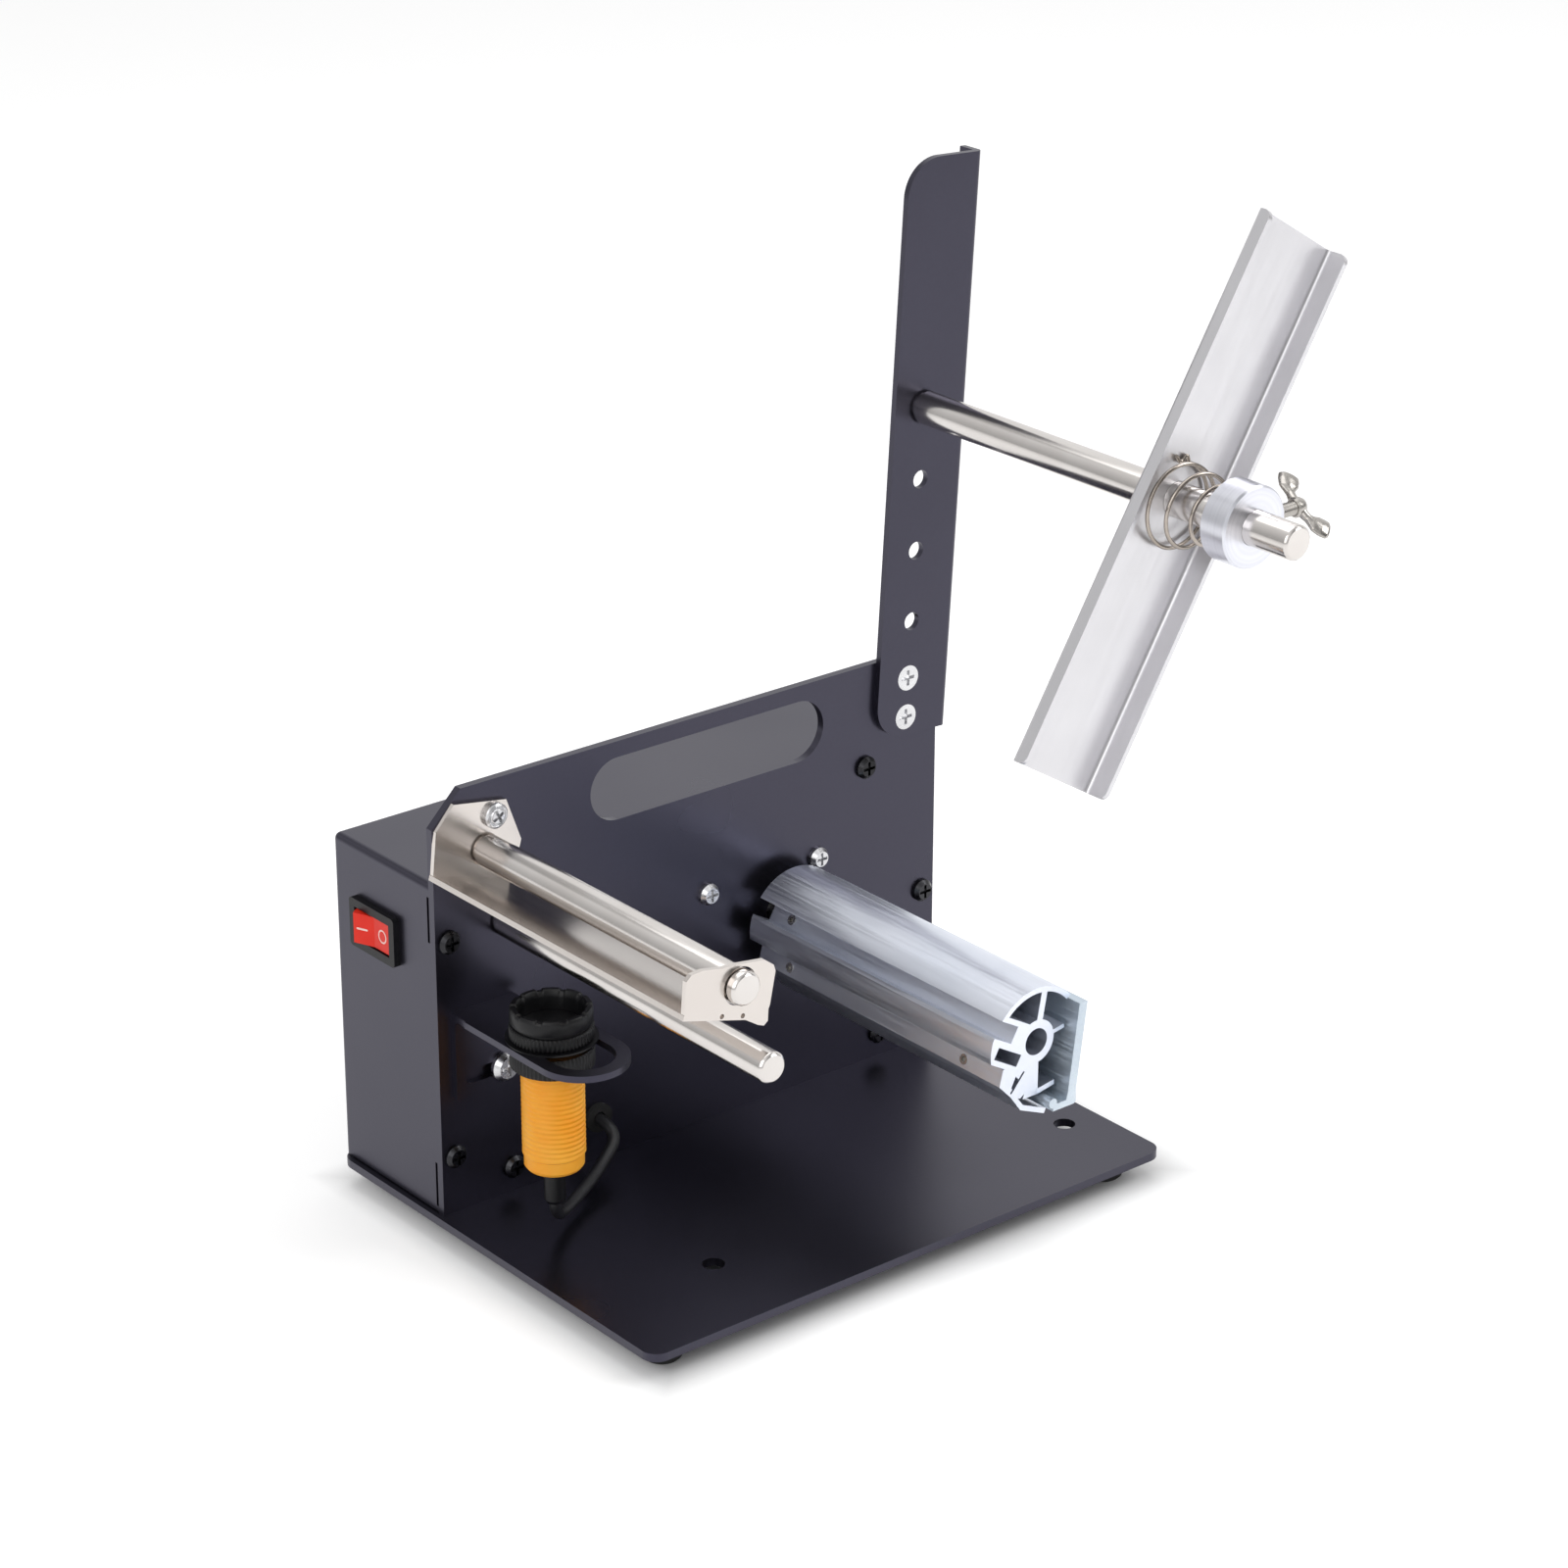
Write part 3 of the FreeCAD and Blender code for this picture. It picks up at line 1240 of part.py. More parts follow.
def disc(radius, spot=(0.0, 0.0)):
    """A round face in the XZ plane about a spot of the section."""
    centre = FreeCAD.Vector(drawn(spot[0]), 0, drawn(spot[1]))
    return Part.Face(Part.Wire(Part.Circle(centre, Y_AXIS, radius).toShape()))


def band(start, stop, low, high, angle):
    """A rectangle that runs from start to stop along a direction, between two offsets beside it."""
    cosine, sine = math.cos(math.radians(angle)), math.sin(math.radians(angle))
    corners = [(start, low), (stop, low), (stop, high), (start, high)]
    return flat_face([(t * cosine - n * sine, t * sine + n * cosine) for t, n in corners])


# The section was drawn at this outer radius, and takes its size from spool_radius
DRAWN_RADIUS = 16.5
# Corners of the section's lower parts and of the clamp bar's plate, from the hub's axis
SPOOL_BLOCK = [
    (-12.2, -5.0), (-13.5, -10.0), (-9.1, -14.6), (-5.6, -16.0), (-4.0, -15.0), (1.0, -15.0), (1.0, -4.0),
    (-4.0, -4.0),
]
SPOOL_LIP = [(-4.0, -15.0), (0.8, -15.0), (7.2, -14.0), (7.2, -15.5), (1.0, -16.6), (-4.6, -16.6)]
SPOOL_LOW_WALL = [(-9.1, -14.6), (-7.3, -14.6), (-4.4, -18.4), (4.4, -22.2), (3.7, -23.6), (-5.4, -19.7)]
SPOOL_SLIT = [(-4.56, -7.67), (-9.46, -13.17), (-8.94, -13.63), (-4.04, -8.13)]
SPOOL_POCKET = [(-7.4, -8.5), (-6.4, -9.6), (-8.0, -12.8), (-9.0, -11.7)]
CLAMP_FOOT = [
    (9.0, -17.0), (12.0, -17.0), (12.1, -20.9), (11.4, -21.4), (3.4, -21.4), (3.4, -19.4), (8.4, -19.4),
]
CLAMP_PLATE = [(12.5, 9.5), (15.5, 9.4), (12.0, -17.0), (9.0, -17.0)]
CLAMP_NECK = [(3.4, -21.4), (4.9, -21.4), (4.9, -18.9), (3.4, -18.9)]
BEAD_CENTRE = (3.4, -18.9)
# Where a grub screw stands: its foot's centre on the section and its direction
SHAFT_GRUB = ((-8.14, 4.7), (0.866, -0.5))
CLAMP_GRUB = ((-12.85, -7.5), (0.968, -0.251))


def extruded(faces, length):
    """One solid from faces in the XZ plane, extruded towards the user and joined."""
    prisms = [face.extrude(FreeCAD.Vector(0, -length, 0)) for face in faces]
    return prisms[0].multiFuse(prisms[1:]).removeSplitter()


def spool_arc(outer, wall):
    """The arc over the hub, from 41 to 141 degrees of the full ring."""
    far = 2 * DRAWN_RADIUS
    start, stop = math.radians(41), math.radians(141)
    wedge = flat_face([
        (0, 0), (far * math.cos(start), far * math.sin(start)), (0, 1.5 * far),
        (far * math.cos(stop), far * math.sin(stop)),
    ])
    return disc(outer).cut(disc(outer - wall)).common(wedge)


def spool_core(length):
    """The extrusion: an arc over a hub, joined by ribs, chords and a hollow box."""
    outer, wall, slope = worth("spool_radius"), worth("spool_wall"), worth("spool_chord_slope")
    chord = band(-16.5, -3.0, 2.4, 4.0, -slope).common(disc(outer))
    floor = band(-9.4, 0.0, -3.0, 2.6, -slope)
    box = band(-16.5, -1.0, -10.1, -2.8, -slope).common(disc(outer + 0.3 * wall))
    web = band(5.6, 15.7, -1.05, 1.05, 79.5)
    spur = band(5.6, 10.6, -0.6, 0.6, 10.0)
    metal = [spool_arc(outer, wall), chord, floor, box, web, spur, disc(worth("spool_hub_radius"))]
    metal += [flat_face(corners) for corners in (SPOOL_BLOCK, SPOOL_LIP, SPOOL_LOW_WALL)]
    hollows = [
        band(-13.3, -3.6, -8.5, -4.85, -slope), flat_face(SPOOL_SLIT), flat_face(SPOOL_POCKET),
        disc(worth("bead_radius + bead_gap"), BEAD_CENTRE), disc(worth("motor_shaft_radius + thread_gap")),
    ]
    return extruded(metal, length).cut(extruded(hollows, length))


def grub_screw(core, ahead, length, spot, inward):
    """Drill the core for one grub screw, and return the core and the screw with its socket."""
    way = FreeCAD.Vector(inward[0], 0, inward[1])
    foot = FreeCAD.Vector(drawn(spot[0]), -ahead, drawn(spot[1]))
    radius, socket_radius = worth("grub_radius"), worth("grub_radius / 2")
    bore = Part.makeCylinder(worth("grub_radius + thread_gap"), 1.1 * length, foot - way * 0.1 * length, way)
    screw = Part.makeCylinder(radius, length, foot - way * 0.05 * length, way)
    socket = Part.makeCylinder(socket_radius, 0.3 * length, foot - way * 0.06 * length, way)
    return core.cut(bore), screw.cut(socket)


def spool():
    core = spool_core(worth("spool_length"))
    screws = []
    for ahead, length, (spot, inward) in (
        ("shaft_grub_root", "shaft_grub_length", SHAFT_GRUB), ("grub_root", "grub_length", CLAMP_GRUB),
        ("spool_length - grub_end", "grub_length", CLAMP_GRUB),
    ):
        core, screw = grub_screw(core, worth(ahead), worth(length), spot, inward)
        screws.append(screw)
    faces = [flat_face(CLAMP_PLATE), flat_face(CLAMP_FOOT), flat_face(CLAMP_NECK)]
    faces.append(disc(worth("bead_radius"), BEAD_CENTRE))
    for name, label, shape in (
        ("SpoolCore", "spool_core", core),
        ("SpoolGrubScrews", "spool_grub_screws", Part.makeCompound(screws)),
        ("ClampBar", "clamp_bar", extruded(faces, worth("clamp_length"))),
    ):
        piece = DOC.addObject("Part::Feature", name)
        piece.Shape = shape
        place(piece, "hub_x", "spool_y", "hub_z")
        node(piece, label)


# Control board on the base, and the supply inlet in the cover's back wall

# Relay, chip and terminal block on the board: left, front, width, depth and height from its corner
BOARD_BLOCKS = [(20.0, 5.5, 19.0, 15.5, 15.0), (44.0, 8.0, 10.0, 6.0, 2.4), (24.0, 21.5, 20.0, 4.0, 8.5)]
# Capacitors on the board: left and front of the axis, radius and height
BOARD_CANS = [(61.0, 14.5, 4.0, 9.0), (49.5, 19.0, 3.2, 8.0)]


def control_board():
    body = new_body("ControlBoard")
    drawing = sketch(body, "XY_Plane", "board_z")
    box_outline(drawing, "board_x", "board_y", "board_x + board_width", "board_y + board_depth")
    for x, y in BOARD_CORNERS:
        circle(drawing, x, y, "black_screw_radius + hole_gap")
    pad(body, drawing, "board_sheet")
    node(body, "control_board")
    standoff = hex_nut("Standoff", "black_screw_radius + thread_gap", "standoff_radius", "board_rise")
    copies("board_standoffs", standoff, [facing(UP, x, y, "base_top") for x, y in BOARD_CORNERS])
    screw = black_screw("BoardScrew", "board_screw_length")
    copies("board_screws", screw, [facing(UP, x, y, "board_z + board_sheet") for x, y in BOARD_CORNERS])
    top = point("board_x", "board_y", "board_z + board_sheet")
    shapes = [
        Part.makeBox(width, depth, height, top + FreeCAD.Vector(left, front, 0))
        for left, front, width, depth, height in BOARD_BLOCKS
    ]
    shapes += [
        Part.makeCylinder(radius, height, top + FreeCAD.Vector(left, front, 0))
        for left, front, radius, height in BOARD_CANS
    ]
    width, height = worth("connector_width"), worth("connector_height")
    corner = point("cable_hole_x - connector_width / 2", "board_y", "board_z + board_sheet")
    shapes.append(Part.makeBox(width, width, height, corner))
    parts = DOC.addObject("Part::Feature", "BoardParts")
    parts.Shape = Part.makeCompound(shapes)
    node(parts, "board_components")


def supply_inlet():
    x, z = "plate_left + inlet_across", "base_top + inlet_rise"
    jack = turned("SupplyInlet", [
        ("2.8", "2"), ("inlet_radius", "2"), ("inlet_radius", "0"), ("inlet_radius - 1.5", "0"),
        ("inlet_radius - 1.5", "-11"), ("0", "-11"), ("0", "-1"), ("1.0", "-1"), ("1.0", "-8"), ("2.8", "-8"),
    ])
    place(jack, x, "cover_back", z, X_AXIS, "-90")
    node(jack, "supply_inlet")
    nut = ring_nut("InletNut", "inlet_radius - 1.45", "inlet_radius + 0.6", "2")
    place(nut, x, "cover_back - cover_sheet - 2", z, X_AXIS, "-90")
    node(nut, "inlet_nut")


# Fasteners

def fasteners():
    black = black_screw("BlackScrew", "black_screw_length")
    into_plate = [facing(FRONT, x, "plate_front", z) for x, z in PLATE_TO_COVER + PLATE_TO_ANGLES]
    copies("plate_screws", black, into_plate)
    under = [facing(DOWN, x, y, "feet_height") for x, y in BOARD_CORNERS + COVER_FEET + ANGLE_FEET]
    copies("base_screws", black, under)
    nut = ring_nut("Nut", "black_screw_radius + thread_gap", "nut_radius", "nut_height")
    behind_cover = [facing(BACK, x, "plate_back + cover_sheet", z) for x, z in PLATE_TO_COVER]
    behind_angles = [facing(BACK, x, "plate_back + angle_sheet", z) for x, z in PLATE_TO_ANGLES]
    copies("clinch_nuts", nut, behind_cover + behind_angles)
    on_feet = [facing(UP, x, y, "base_top + cover_sheet") for x, y in COVER_FEET]
    on_angles = [facing(UP, x, y, "base_top + angle_sheet") for x, y in ANGLE_FEET]
    copies("base_nuts", nut, on_feet + on_angles)

    countersunk = flat_screw(
        "UprightScrew", "upright_screw_radius", "upright_screw_length", "upright_head_radius",
    )
    copies("upright_screws", countersunk, [facing(FRONT, x, "upright_face", z) for x, z in UPRIGHT_SCREWS])
    upright_nut = hex_nut(
        "UprightNut", "upright_screw_radius + thread_gap", "hex_nut_radius", "hex_nut_height",
    )
    copies("upright_nuts", upright_nut, [facing(BACK, x, "plate_back", z) for x, z in UPRIGHT_SCREWS])
    reel = pan_screw(
        "ReelScrew", "shaft_screw_radius", "shaft_screw_length", "shaft_head_radius", "shaft_head_height",
    )
    copies("reel_shaft_screw", reel, [facing(BACK, "reel_x", "plate_front", "reel_z")])
    rod_screw = pan_screw(
        "RodScrew", "rod_screw_radius", "rod_screw_length", "rod_head_radius", "rod_head_height",
    )
    rod_feet = (("rod_x", "rod_z"), ("guide_rod_x", "guide_rod_z"))
    copies("rod_screws", rod_screw, [facing(BACK, x, "plate_back", z) for x, z in rod_feet])

    peel = pan_screw(
        "PeelScrew", "rod_screw_radius", "peel_screw_length", "peel_head_radius", "peel_head_height",
    )
    before_peel = facing(FRONT, PEEL_SCREW[0], "plate_front - peel_sheet", PEEL_SCREW[1])
    copies("peel_bracket_screw", peel, [before_peel])
    sensor_screw = pan_screw(
        "SensorScrew", "rod_screw_radius", "sensor_screw_length", "sensor_head_radius", "sensor_head_height",
    )
    before_bracket = facing(FRONT, SENSOR_SCREW[0], "plate_front - sensor_sheet", SENSOR_SCREW[1])
    copies("sensor_bracket_screw", sensor_screw, [before_bracket])
    bracket_nut = hex_nut("BracketNut", "rod_screw_radius + thread_gap", "hex_nut_radius", "hex_nut_height")
    behind_brackets = [facing(BACK, x, "plate_back", z) for x, z in (PEEL_SCREW, SENSOR_SCREW)]
    copies("bracket_nuts", bracket_nut, behind_brackets)
    motor_screw = pan_screw(
        "MotorScrew", "motor_screw_radius", "motor_screw_length", "motor_head_radius", "motor_head_height",
    )
    copies("motor_screws", motor_screw, [facing(FRONT, x, "plate_front", z) for x, z in MOTOR_SCREWS])


def check_and_write():
    """Stop if a piece failed, then write one file for each piece."""
    DOC.recompute()
    for thing in DOC.Objects:
        if "Invalid" in thing.State or "Error" in thing.State:
            raise ValueError(f"{thing.Label} failed: {thing.State}")
    os.makedirs("parts", exist_ok=True)
    for thing in NODES:
        shape = thing.Shape
        if shape.isNull() or not shape.isValid() or not shape.Solids:
            raise ValueError(f"{thing.Label} has no valid shape")
        shape.exportStep(f"parts/{thing.Label}.step")
        print(f"{thing.Label}: {len(shape.Solids)} solid(s), {shape.Volume / 1000:.2f} cm3")


base_plate()
base_feet()
plate_angles()
front_plate()
cover()
upright()
reel_shaft()
reel_channel()
reel_spring()
collar()
wing_screw()
peel_bracket()
rods()
sensor_bracket()
sensor()
sensor_cable()
switch()
gear_motor()
spool()
control_board()
supply_inlet()
fasteners()
check_and_write()
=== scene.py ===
"""Looks for the label dispenser: finishes for every CAD piece, detailed pieces and the studio."""

import logging
import math
from collections.abc import Iterable
from dataclasses import dataclass, field
from enum import Enum
from typing import Any

import bmesh
import bpy
import numpy as np
from mathutils import Matrix


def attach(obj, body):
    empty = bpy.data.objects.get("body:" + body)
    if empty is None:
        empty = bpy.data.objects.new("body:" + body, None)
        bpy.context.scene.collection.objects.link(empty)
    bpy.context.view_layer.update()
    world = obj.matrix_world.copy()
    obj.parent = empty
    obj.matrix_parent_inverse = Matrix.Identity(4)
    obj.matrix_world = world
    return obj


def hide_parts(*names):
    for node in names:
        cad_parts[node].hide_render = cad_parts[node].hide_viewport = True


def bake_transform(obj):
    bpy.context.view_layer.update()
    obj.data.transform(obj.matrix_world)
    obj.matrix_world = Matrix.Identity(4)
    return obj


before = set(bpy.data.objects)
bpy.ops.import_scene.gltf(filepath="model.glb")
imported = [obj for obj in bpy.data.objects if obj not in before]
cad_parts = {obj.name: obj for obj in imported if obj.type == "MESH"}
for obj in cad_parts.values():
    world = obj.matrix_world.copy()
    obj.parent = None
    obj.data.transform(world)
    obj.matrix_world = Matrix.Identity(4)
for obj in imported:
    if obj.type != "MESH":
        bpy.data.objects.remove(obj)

LOG = logging.getLogger("label_dispenser")

# One millimetre, in metres
MM = 0.001
# Most values of a noise pattern lie between these two
PATTERN_LOW, PATTERN_HIGH = 0.3, 0.7
# Edges that bend by more than this stay sharp
SHARP_ANGLE = math.radians(40.0)
# Points nearer to each other than this, in metres, are one point
SAME_PLACE = 1e-7
# Radius in millimetres of the small face that closes a turned piece on its axis
AXIS_GAP = 0.02
# Rings to one pitch of a thread
RINGS_PER_PITCH = 9
# A direction that no swept path starts along
SLANT = (0.3, 0.5, 0.81)


def linear(colour: str) -> tuple[float, float, float, float]:
    """Turn an sRGB hex colour into linear light.

    Args:
        colour: six hex digits.

    Returns:
        Red, green, blue and alpha.
    """
    parts = [int(colour[at:at + 2], 16) / 255.0 for at in (0, 2, 4)]
    light = [part / 12.92 if part <= 0.04045 else ((part + 0.055) / 1.055) ** 2.4 for part in parts]
    return light[0], light[1], light[2], 1.0


def add_node(
    tree: bpy.types.NodeTree, kind: str, settings: dict[Any, Any] | None = None,
    links: dict[Any, Any] | None = None,
) -> bpy.types.Node:
    """Add a shader node with its settings and links.

    Args:
        tree: the material's node tree.
        kind: the node's type, without ShaderNode.
        settings: socket values by name or number, or the node's own properties.
        links: sources by socket name or number: a socket, or a node for its first output.

    Returns:
        The new node.
    """
    made = tree.nodes.new(f"ShaderNode{kind}")
    for name, value in (settings or {}).items():
        if isinstance(name, str) and hasattr(made, name):
            setattr(made, name, value)
        else:
            made.inputs[name].default_value = value
    for name, source in (links or {}).items():
        socket = source.outputs[0] if isinstance(source, bpy.types.Node) else source
        tree.links.new(socket, made.inputs[name])
    return made


class Lay(Enum):
    """Which way the marks of a metal's working run, as scales per metre.

    A mark is 33 mm long and 0.56 mm wide, and an even grain measures 1.4 mm. Real marks are finer than a
    tenth of a millimetre, and are drawn this coarse so that they show.
    """

    ALONG_X = (30.0, 1800.0, 1800.0)
    ALONG_Y = (1800.0, 30.0, 1800.0)
    ALONG_Z = (1800.0, 1800.0, 30.0)
    EVEN = (700.0, 700.0, 700.0)


@dataclass(frozen=True)
class PowderCoat:
    """Black powder coat, sprayed dry and baked: satin, with a fine orange peel of about a millimetre."""

    name: str = "black_powder_coat"
    colour: str = "0b0a0e"
    pale: str = "111014"
    gloss: str = "dedaff"
    gloss_level: float = 0.85
    peel_mm: float = 0.9
    roughness: float = 0.31
    roughness_span: tuple[float, float] = (-0.04, 0.06)
    clouds_per_metre: float = 14.0
    strength: float = 0.14
    depth_mm: float = 0.05

    def make(self) -> bpy.types.Material:
        """Build the material."""
        material, tree, shader, place = start_material(self.name)
        speckle = add_node(
            tree, "TexNoise", {"Scale": 1.0 / (self.peel_mm * MM), "Detail": 3.0}, {"Vector": place}
        )
        cloud = add_node(
            tree, "TexNoise", {"Scale": self.clouds_per_metre, "Detail": 2.0}, {"Vector": place}
        )
        blend_colours(tree, shader, speckle, self.colour, self.pale)
        low, high = (self.roughness + step for step in self.roughness_span)
        spread(tree, shader, cloud, low, high)
        relief(tree, shader, speckle, self.strength, self.depth_mm * MM)
        shader.inputs["Specular Tint"].default_value = linear(self.gloss)
        shader.inputs["Specular IOR Level"].default_value = self.gloss_level
        return material


@dataclass(frozen=True)
class WorkedMetal:
    """Bare metal that was ground, brushed, drawn or turned: fine lines of lighter and darker gloss."""

    name: str
    colour: str
    dark: str
    roughness: float
    lay: Lay = Lay.EVEN
    tilt: float = 0.0
    depth_mm: float = 0.02
    strength: float = 0.25
    uneven: float = 1.0
    roughness_shares: tuple[float, float] = (-0.25, 0.3)
    wear_per_metre: float = 40.0

    def make(self) -> bpy.types.Material:
        """Build the material."""
        material, tree, shader, place = start_material(self.name, metallic=1.0)
        tilted = add_node(
            tree, "Mapping", {"Rotation": (0.0, math.radians(self.tilt), 0.0)}, {"Vector": place}
        )
        stretched = add_node(tree, "Mapping", {"Scale": self.lay.value}, {"Vector": tilted})
        lines = add_node(
            tree, "TexNoise", {"Scale": 1.0, "Detail": 4.0, "Roughness": 0.6}, {"Vector": stretched}
        )
        wear = add_node(
            tree, "TexNoise", {"Scale": self.wear_per_metre, "Detail": 3.0}, {"Vector": place}
        )
        blend_colours(tree, shader, wear, self.dark, self.colour)
        swing = self.roughness * self.uneven
        low, high = (self.roughness + share * swing for share in self.roughness_shares)
        spread(tree, shader, lines, low, high)
        relief(tree, shader, lines, self.strength, self.depth_mm * MM)
        return material


@dataclass(frozen=True)
class FacedMetal:
    """Metal faced on a lathe: fine rings about the part's own axis."""

    name: str
    colour: str
    dark: str
    roughness: float
    centre: tuple[float, float, float]
    ring_mm: float = 0.45
    strength: float = 0.25
    depth_mm: float = 0.02
    roughness_shares: tuple[float, float] = (0.94, 1.08)

    def make(self) -> bpy.types.Material:
        """Build the material."""
        material, tree, shader, place = start_material(self.name, metallic=1.0)
        own = add_node(
            tree, "VectorMath",
            {"operation": "SUBTRACT", 1: tuple(value * MM for value in self.centre)}, {0: place},
        )
        flat = add_node(tree, "VectorMath", {"operation": "MULTIPLY", 1: (1.0, 0.0, 1.0)}, {0: own})
        radius = add_node(tree, "VectorMath", {"operation": "LENGTH"}, {0: flat})
        depth = add_node(tree, "SeparateXYZ", {}, {"Vector": own})
        rings = add_node(tree, "CombineXYZ", {}, {"X": radius.outputs["Value"], "Y": depth.outputs["Y"]})
        grooves = add_node(
            tree, "TexNoise", {"Scale": 1.0 / (self.ring_mm * MM), "Detail": 2.0}, {"Vector": rings}
        )
        blend_colours(tree, shader, grooves, self.dark, self.colour)
        low, high = (self.roughness * share for share in self.roughness_shares)
        spread(tree, shader, grooves, low, high)
        relief(tree, shader, grooves, self.strength, self.depth_mm * MM)
        return material


@dataclass(frozen=True)
class Moulded:
    """Moulded plastic or rubber: an even body with a fine mould grain and slightly uneven gloss."""

    name: str
    colour: str
    pale: str
    roughness: float
    grain_mm: float = 0.5
    coat: float = 0.0
    glow: float = 0.0
    gloss_level: float = 0.5
    roughness_span: tuple[float, float] = (-0.05, 0.07)
    clouds_per_metre: float = 90.0
    strength: float = 0.12
    depth_mm: float = 0.03
    glow_depth_mm: float = 1.5

    def make(self) -> bpy.types.Material:
        """Build the material."""
        material, tree, shader, place = start_material(self.name)
        grain = add_node(
            tree, "TexNoise", {"Scale": 1.0 / (self.grain_mm * MM), "Detail": 3.0}, {"Vector": place}
        )
        cloud = add_node(
            tree, "TexNoise", {"Scale": self.clouds_per_metre, "Detail": 2.0}, {"Vector": place}
        )
        blend_colours(tree, shader, cloud, self.colour, self.pale)
        low, high = (self.roughness + step for step in self.roughness_span)
        spread(tree, shader, grain, low, high)
        relief(tree, shader, grain, self.strength, self.depth_mm * MM)
        shader.inputs["Specular IOR Level"].default_value = self.gloss_level
        shader.inputs["Coat Weight"].default_value = self.coat
        shader.inputs["Subsurface Weight"].default_value = self.glow
        if self.glow:
            shader.inputs["Subsurface Scale"].default_value = self.glow_depth_mm * MM
        return material


Finish = PowderCoat | WorkedMetal | FacedMetal | Moulded


def start_material(
    name: str, metallic: float = 0.0
) -> tuple[bpy.types.Material, bpy.types.NodeTree, bpy.types.Node, bpy.types.NodeSocket]:
    """Start a material on object coordinates.

    Args:
        name: the material's name.
        metallic: the shader's metallic value.

    Returns:
        The material, its tree, its shader and the place socket.
    """
    material = bpy.data.materials.new(name)
    material.use_nodes = True
    tree = material.node_tree
    tree.nodes.clear()
    shader = add_node(tree, "BsdfPrincipled", {"Metallic": metallic})
    add_node(tree, "OutputMaterial", {}, {"Surface": shader})
    place = add_node(tree, "TexCoord").outputs["Object"]
    return material, tree, shader, place


def blend_colours(
    tree: bpy.types.NodeTree, shader: bpy.types.Node, share: bpy.types.Node, low: str, high: str
) -> None:
    """Vary the shader's colour between two by a pattern."""
    ramp = add_node(tree, "ValToRGB", {}, {"Fac": share})
    ramp.color_ramp.elements[0].position = PATTERN_LOW
    ramp.color_ramp.elements[0].color = linear(low)
    ramp.color_ramp.elements[1].position = PATTERN_HIGH
    ramp.color_ramp.elements[1].color = linear(high)
    tree.links.new(ramp.outputs["Color"], shader.inputs["Base Color"])


def spread(
    tree: bpy.types.NodeTree, shader: bpy.types.Node, share: bpy.types.Node, low: float, high: float
) -> None:
    """Vary the shader's roughness between two values by a pattern."""
    made = add_node(
        tree, "MapRange",
        {"From Min": PATTERN_LOW, "From Max": PATTERN_HIGH, "To Min": low, "To Max": high}, {"Value": share},
    )
    tree.links.new(made.outputs["Result"], shader.inputs["Roughness"])


def relief(
    tree: bpy.types.NodeTree, shader: bpy.types.Node, height: bpy.types.Node, strength: float,
    depth: float,
) -> None:
    """Raise and sink the surface's shading by a pattern."""
    bump = add_node(tree, "Bump", {"Strength": strength, "Distance": depth}, {"Height": height})
    tree.links.new(bump.outputs["Normal"], shader.inputs["Normal"])


@dataclass
class Finishes:
    """Every finish of the machine, made once."""

    made: dict[str, bpy.types.Material] = field(default_factory=dict)

    def get(self, finish: Finish) -> bpy.types.Material:
        """Give a finish's material, and make it the first time."""
        if finish.name not in self.made:
            self.made[finish.name] = finish.make()
        return self.made[finish.name]


FINISHES = Finishes()

# Black powder coat: nearly black and satin, with broad soft highlights
BLACK_PAINT = PowderCoat()
# Rolled stainless sheet: nearly white, with a faint brushing along its length
BRUSHED_GUIDE = WorkedMetal(
    "rolled_stainless_guide", "dad9dc", "d3d2d5", 0.34, Lay.ALONG_Z, -31.6, strength=0.04, uneven=0.6
)
# Polished stainless sheet: warm and satin, so that the rods show in it as soft streaks
BRUSHED_BRACKET = WorkedMetal(
    "satin_stainless_bracket", "d8d2cd", "d2cbc6", 0.21, Lay.ALONG_Y, depth_mm=0.01, strength=0.02,
    uneven=0.3,
)
# Extruded aluminium, clear anodised: satin and a little blue, with die lines along it
EXTRUSION = WorkedMetal(
    "anodised_aluminium_extrusion", "eaeef8", "e0e5f0", 0.38, Lay.ALONG_Y, strength=0.08
)
# Anodised strip: duller than the extrusion, and a little bluer
CLAMP_STRIP = WorkedMetal("anodised_aluminium_strip", "dbe4ec", "cad5df", 0.52, Lay.ALONG_Y, strength=0.08)
# Centreless ground bar: satin, warm grey, with faint streaks along it
GROUND_ROD = WorkedMetal(
    "ground_stainless_bar", "dcd8d5", "d2cdc9", 0.19, Lay.ALONG_Y, depth_mm=0.01, strength=0.04,
    uneven=0.6,
)
# Zinc plate, blue passivated: bright with a soft bluish cast
ZINC = WorkedMetal("zinc_plate", "dedee0", "c6c6c8", 0.28, Lay.EVEN, strength=0.1)
# Hard drawn stainless wire: darker and browner than the sheet
SPRING_WIRE = WorkedMetal("drawn_stainless_wire", "b0a79e", "8b837b", 0.16, Lay.EVEN, strength=0.05)
# Nickel plated die casting: soft gloss over a slightly uneven skin
NICKEL = WorkedMetal(
    "nickel_plated_casting", "b9b5b0", "a09c97", 0.24, Lay.EVEN, strength=0.12, depth_mm=0.03
)
# Blackened steel: dark grey, with the small bright glints of bare metal
BLACK_OXIDE = WorkedMetal("black_oxide_steel", "4a4a4d", "2a2a2c", 0.3, Lay.EVEN, strength=0.2)
# Hardened steel: bright, with small clear highlights
GRUB_STEEL = WorkedMetal("bright_grub_steel", "c4c2bf", "96938f", 0.25, Lay.EVEN, strength=0.2)
# Plated drawn steel: mid grey and satin
MOTOR_STEEL = WorkedMetal("plated_motor_steel", "a9a9a8", "8b8b89", 0.35, Lay.ALONG_X, strength=0.2)
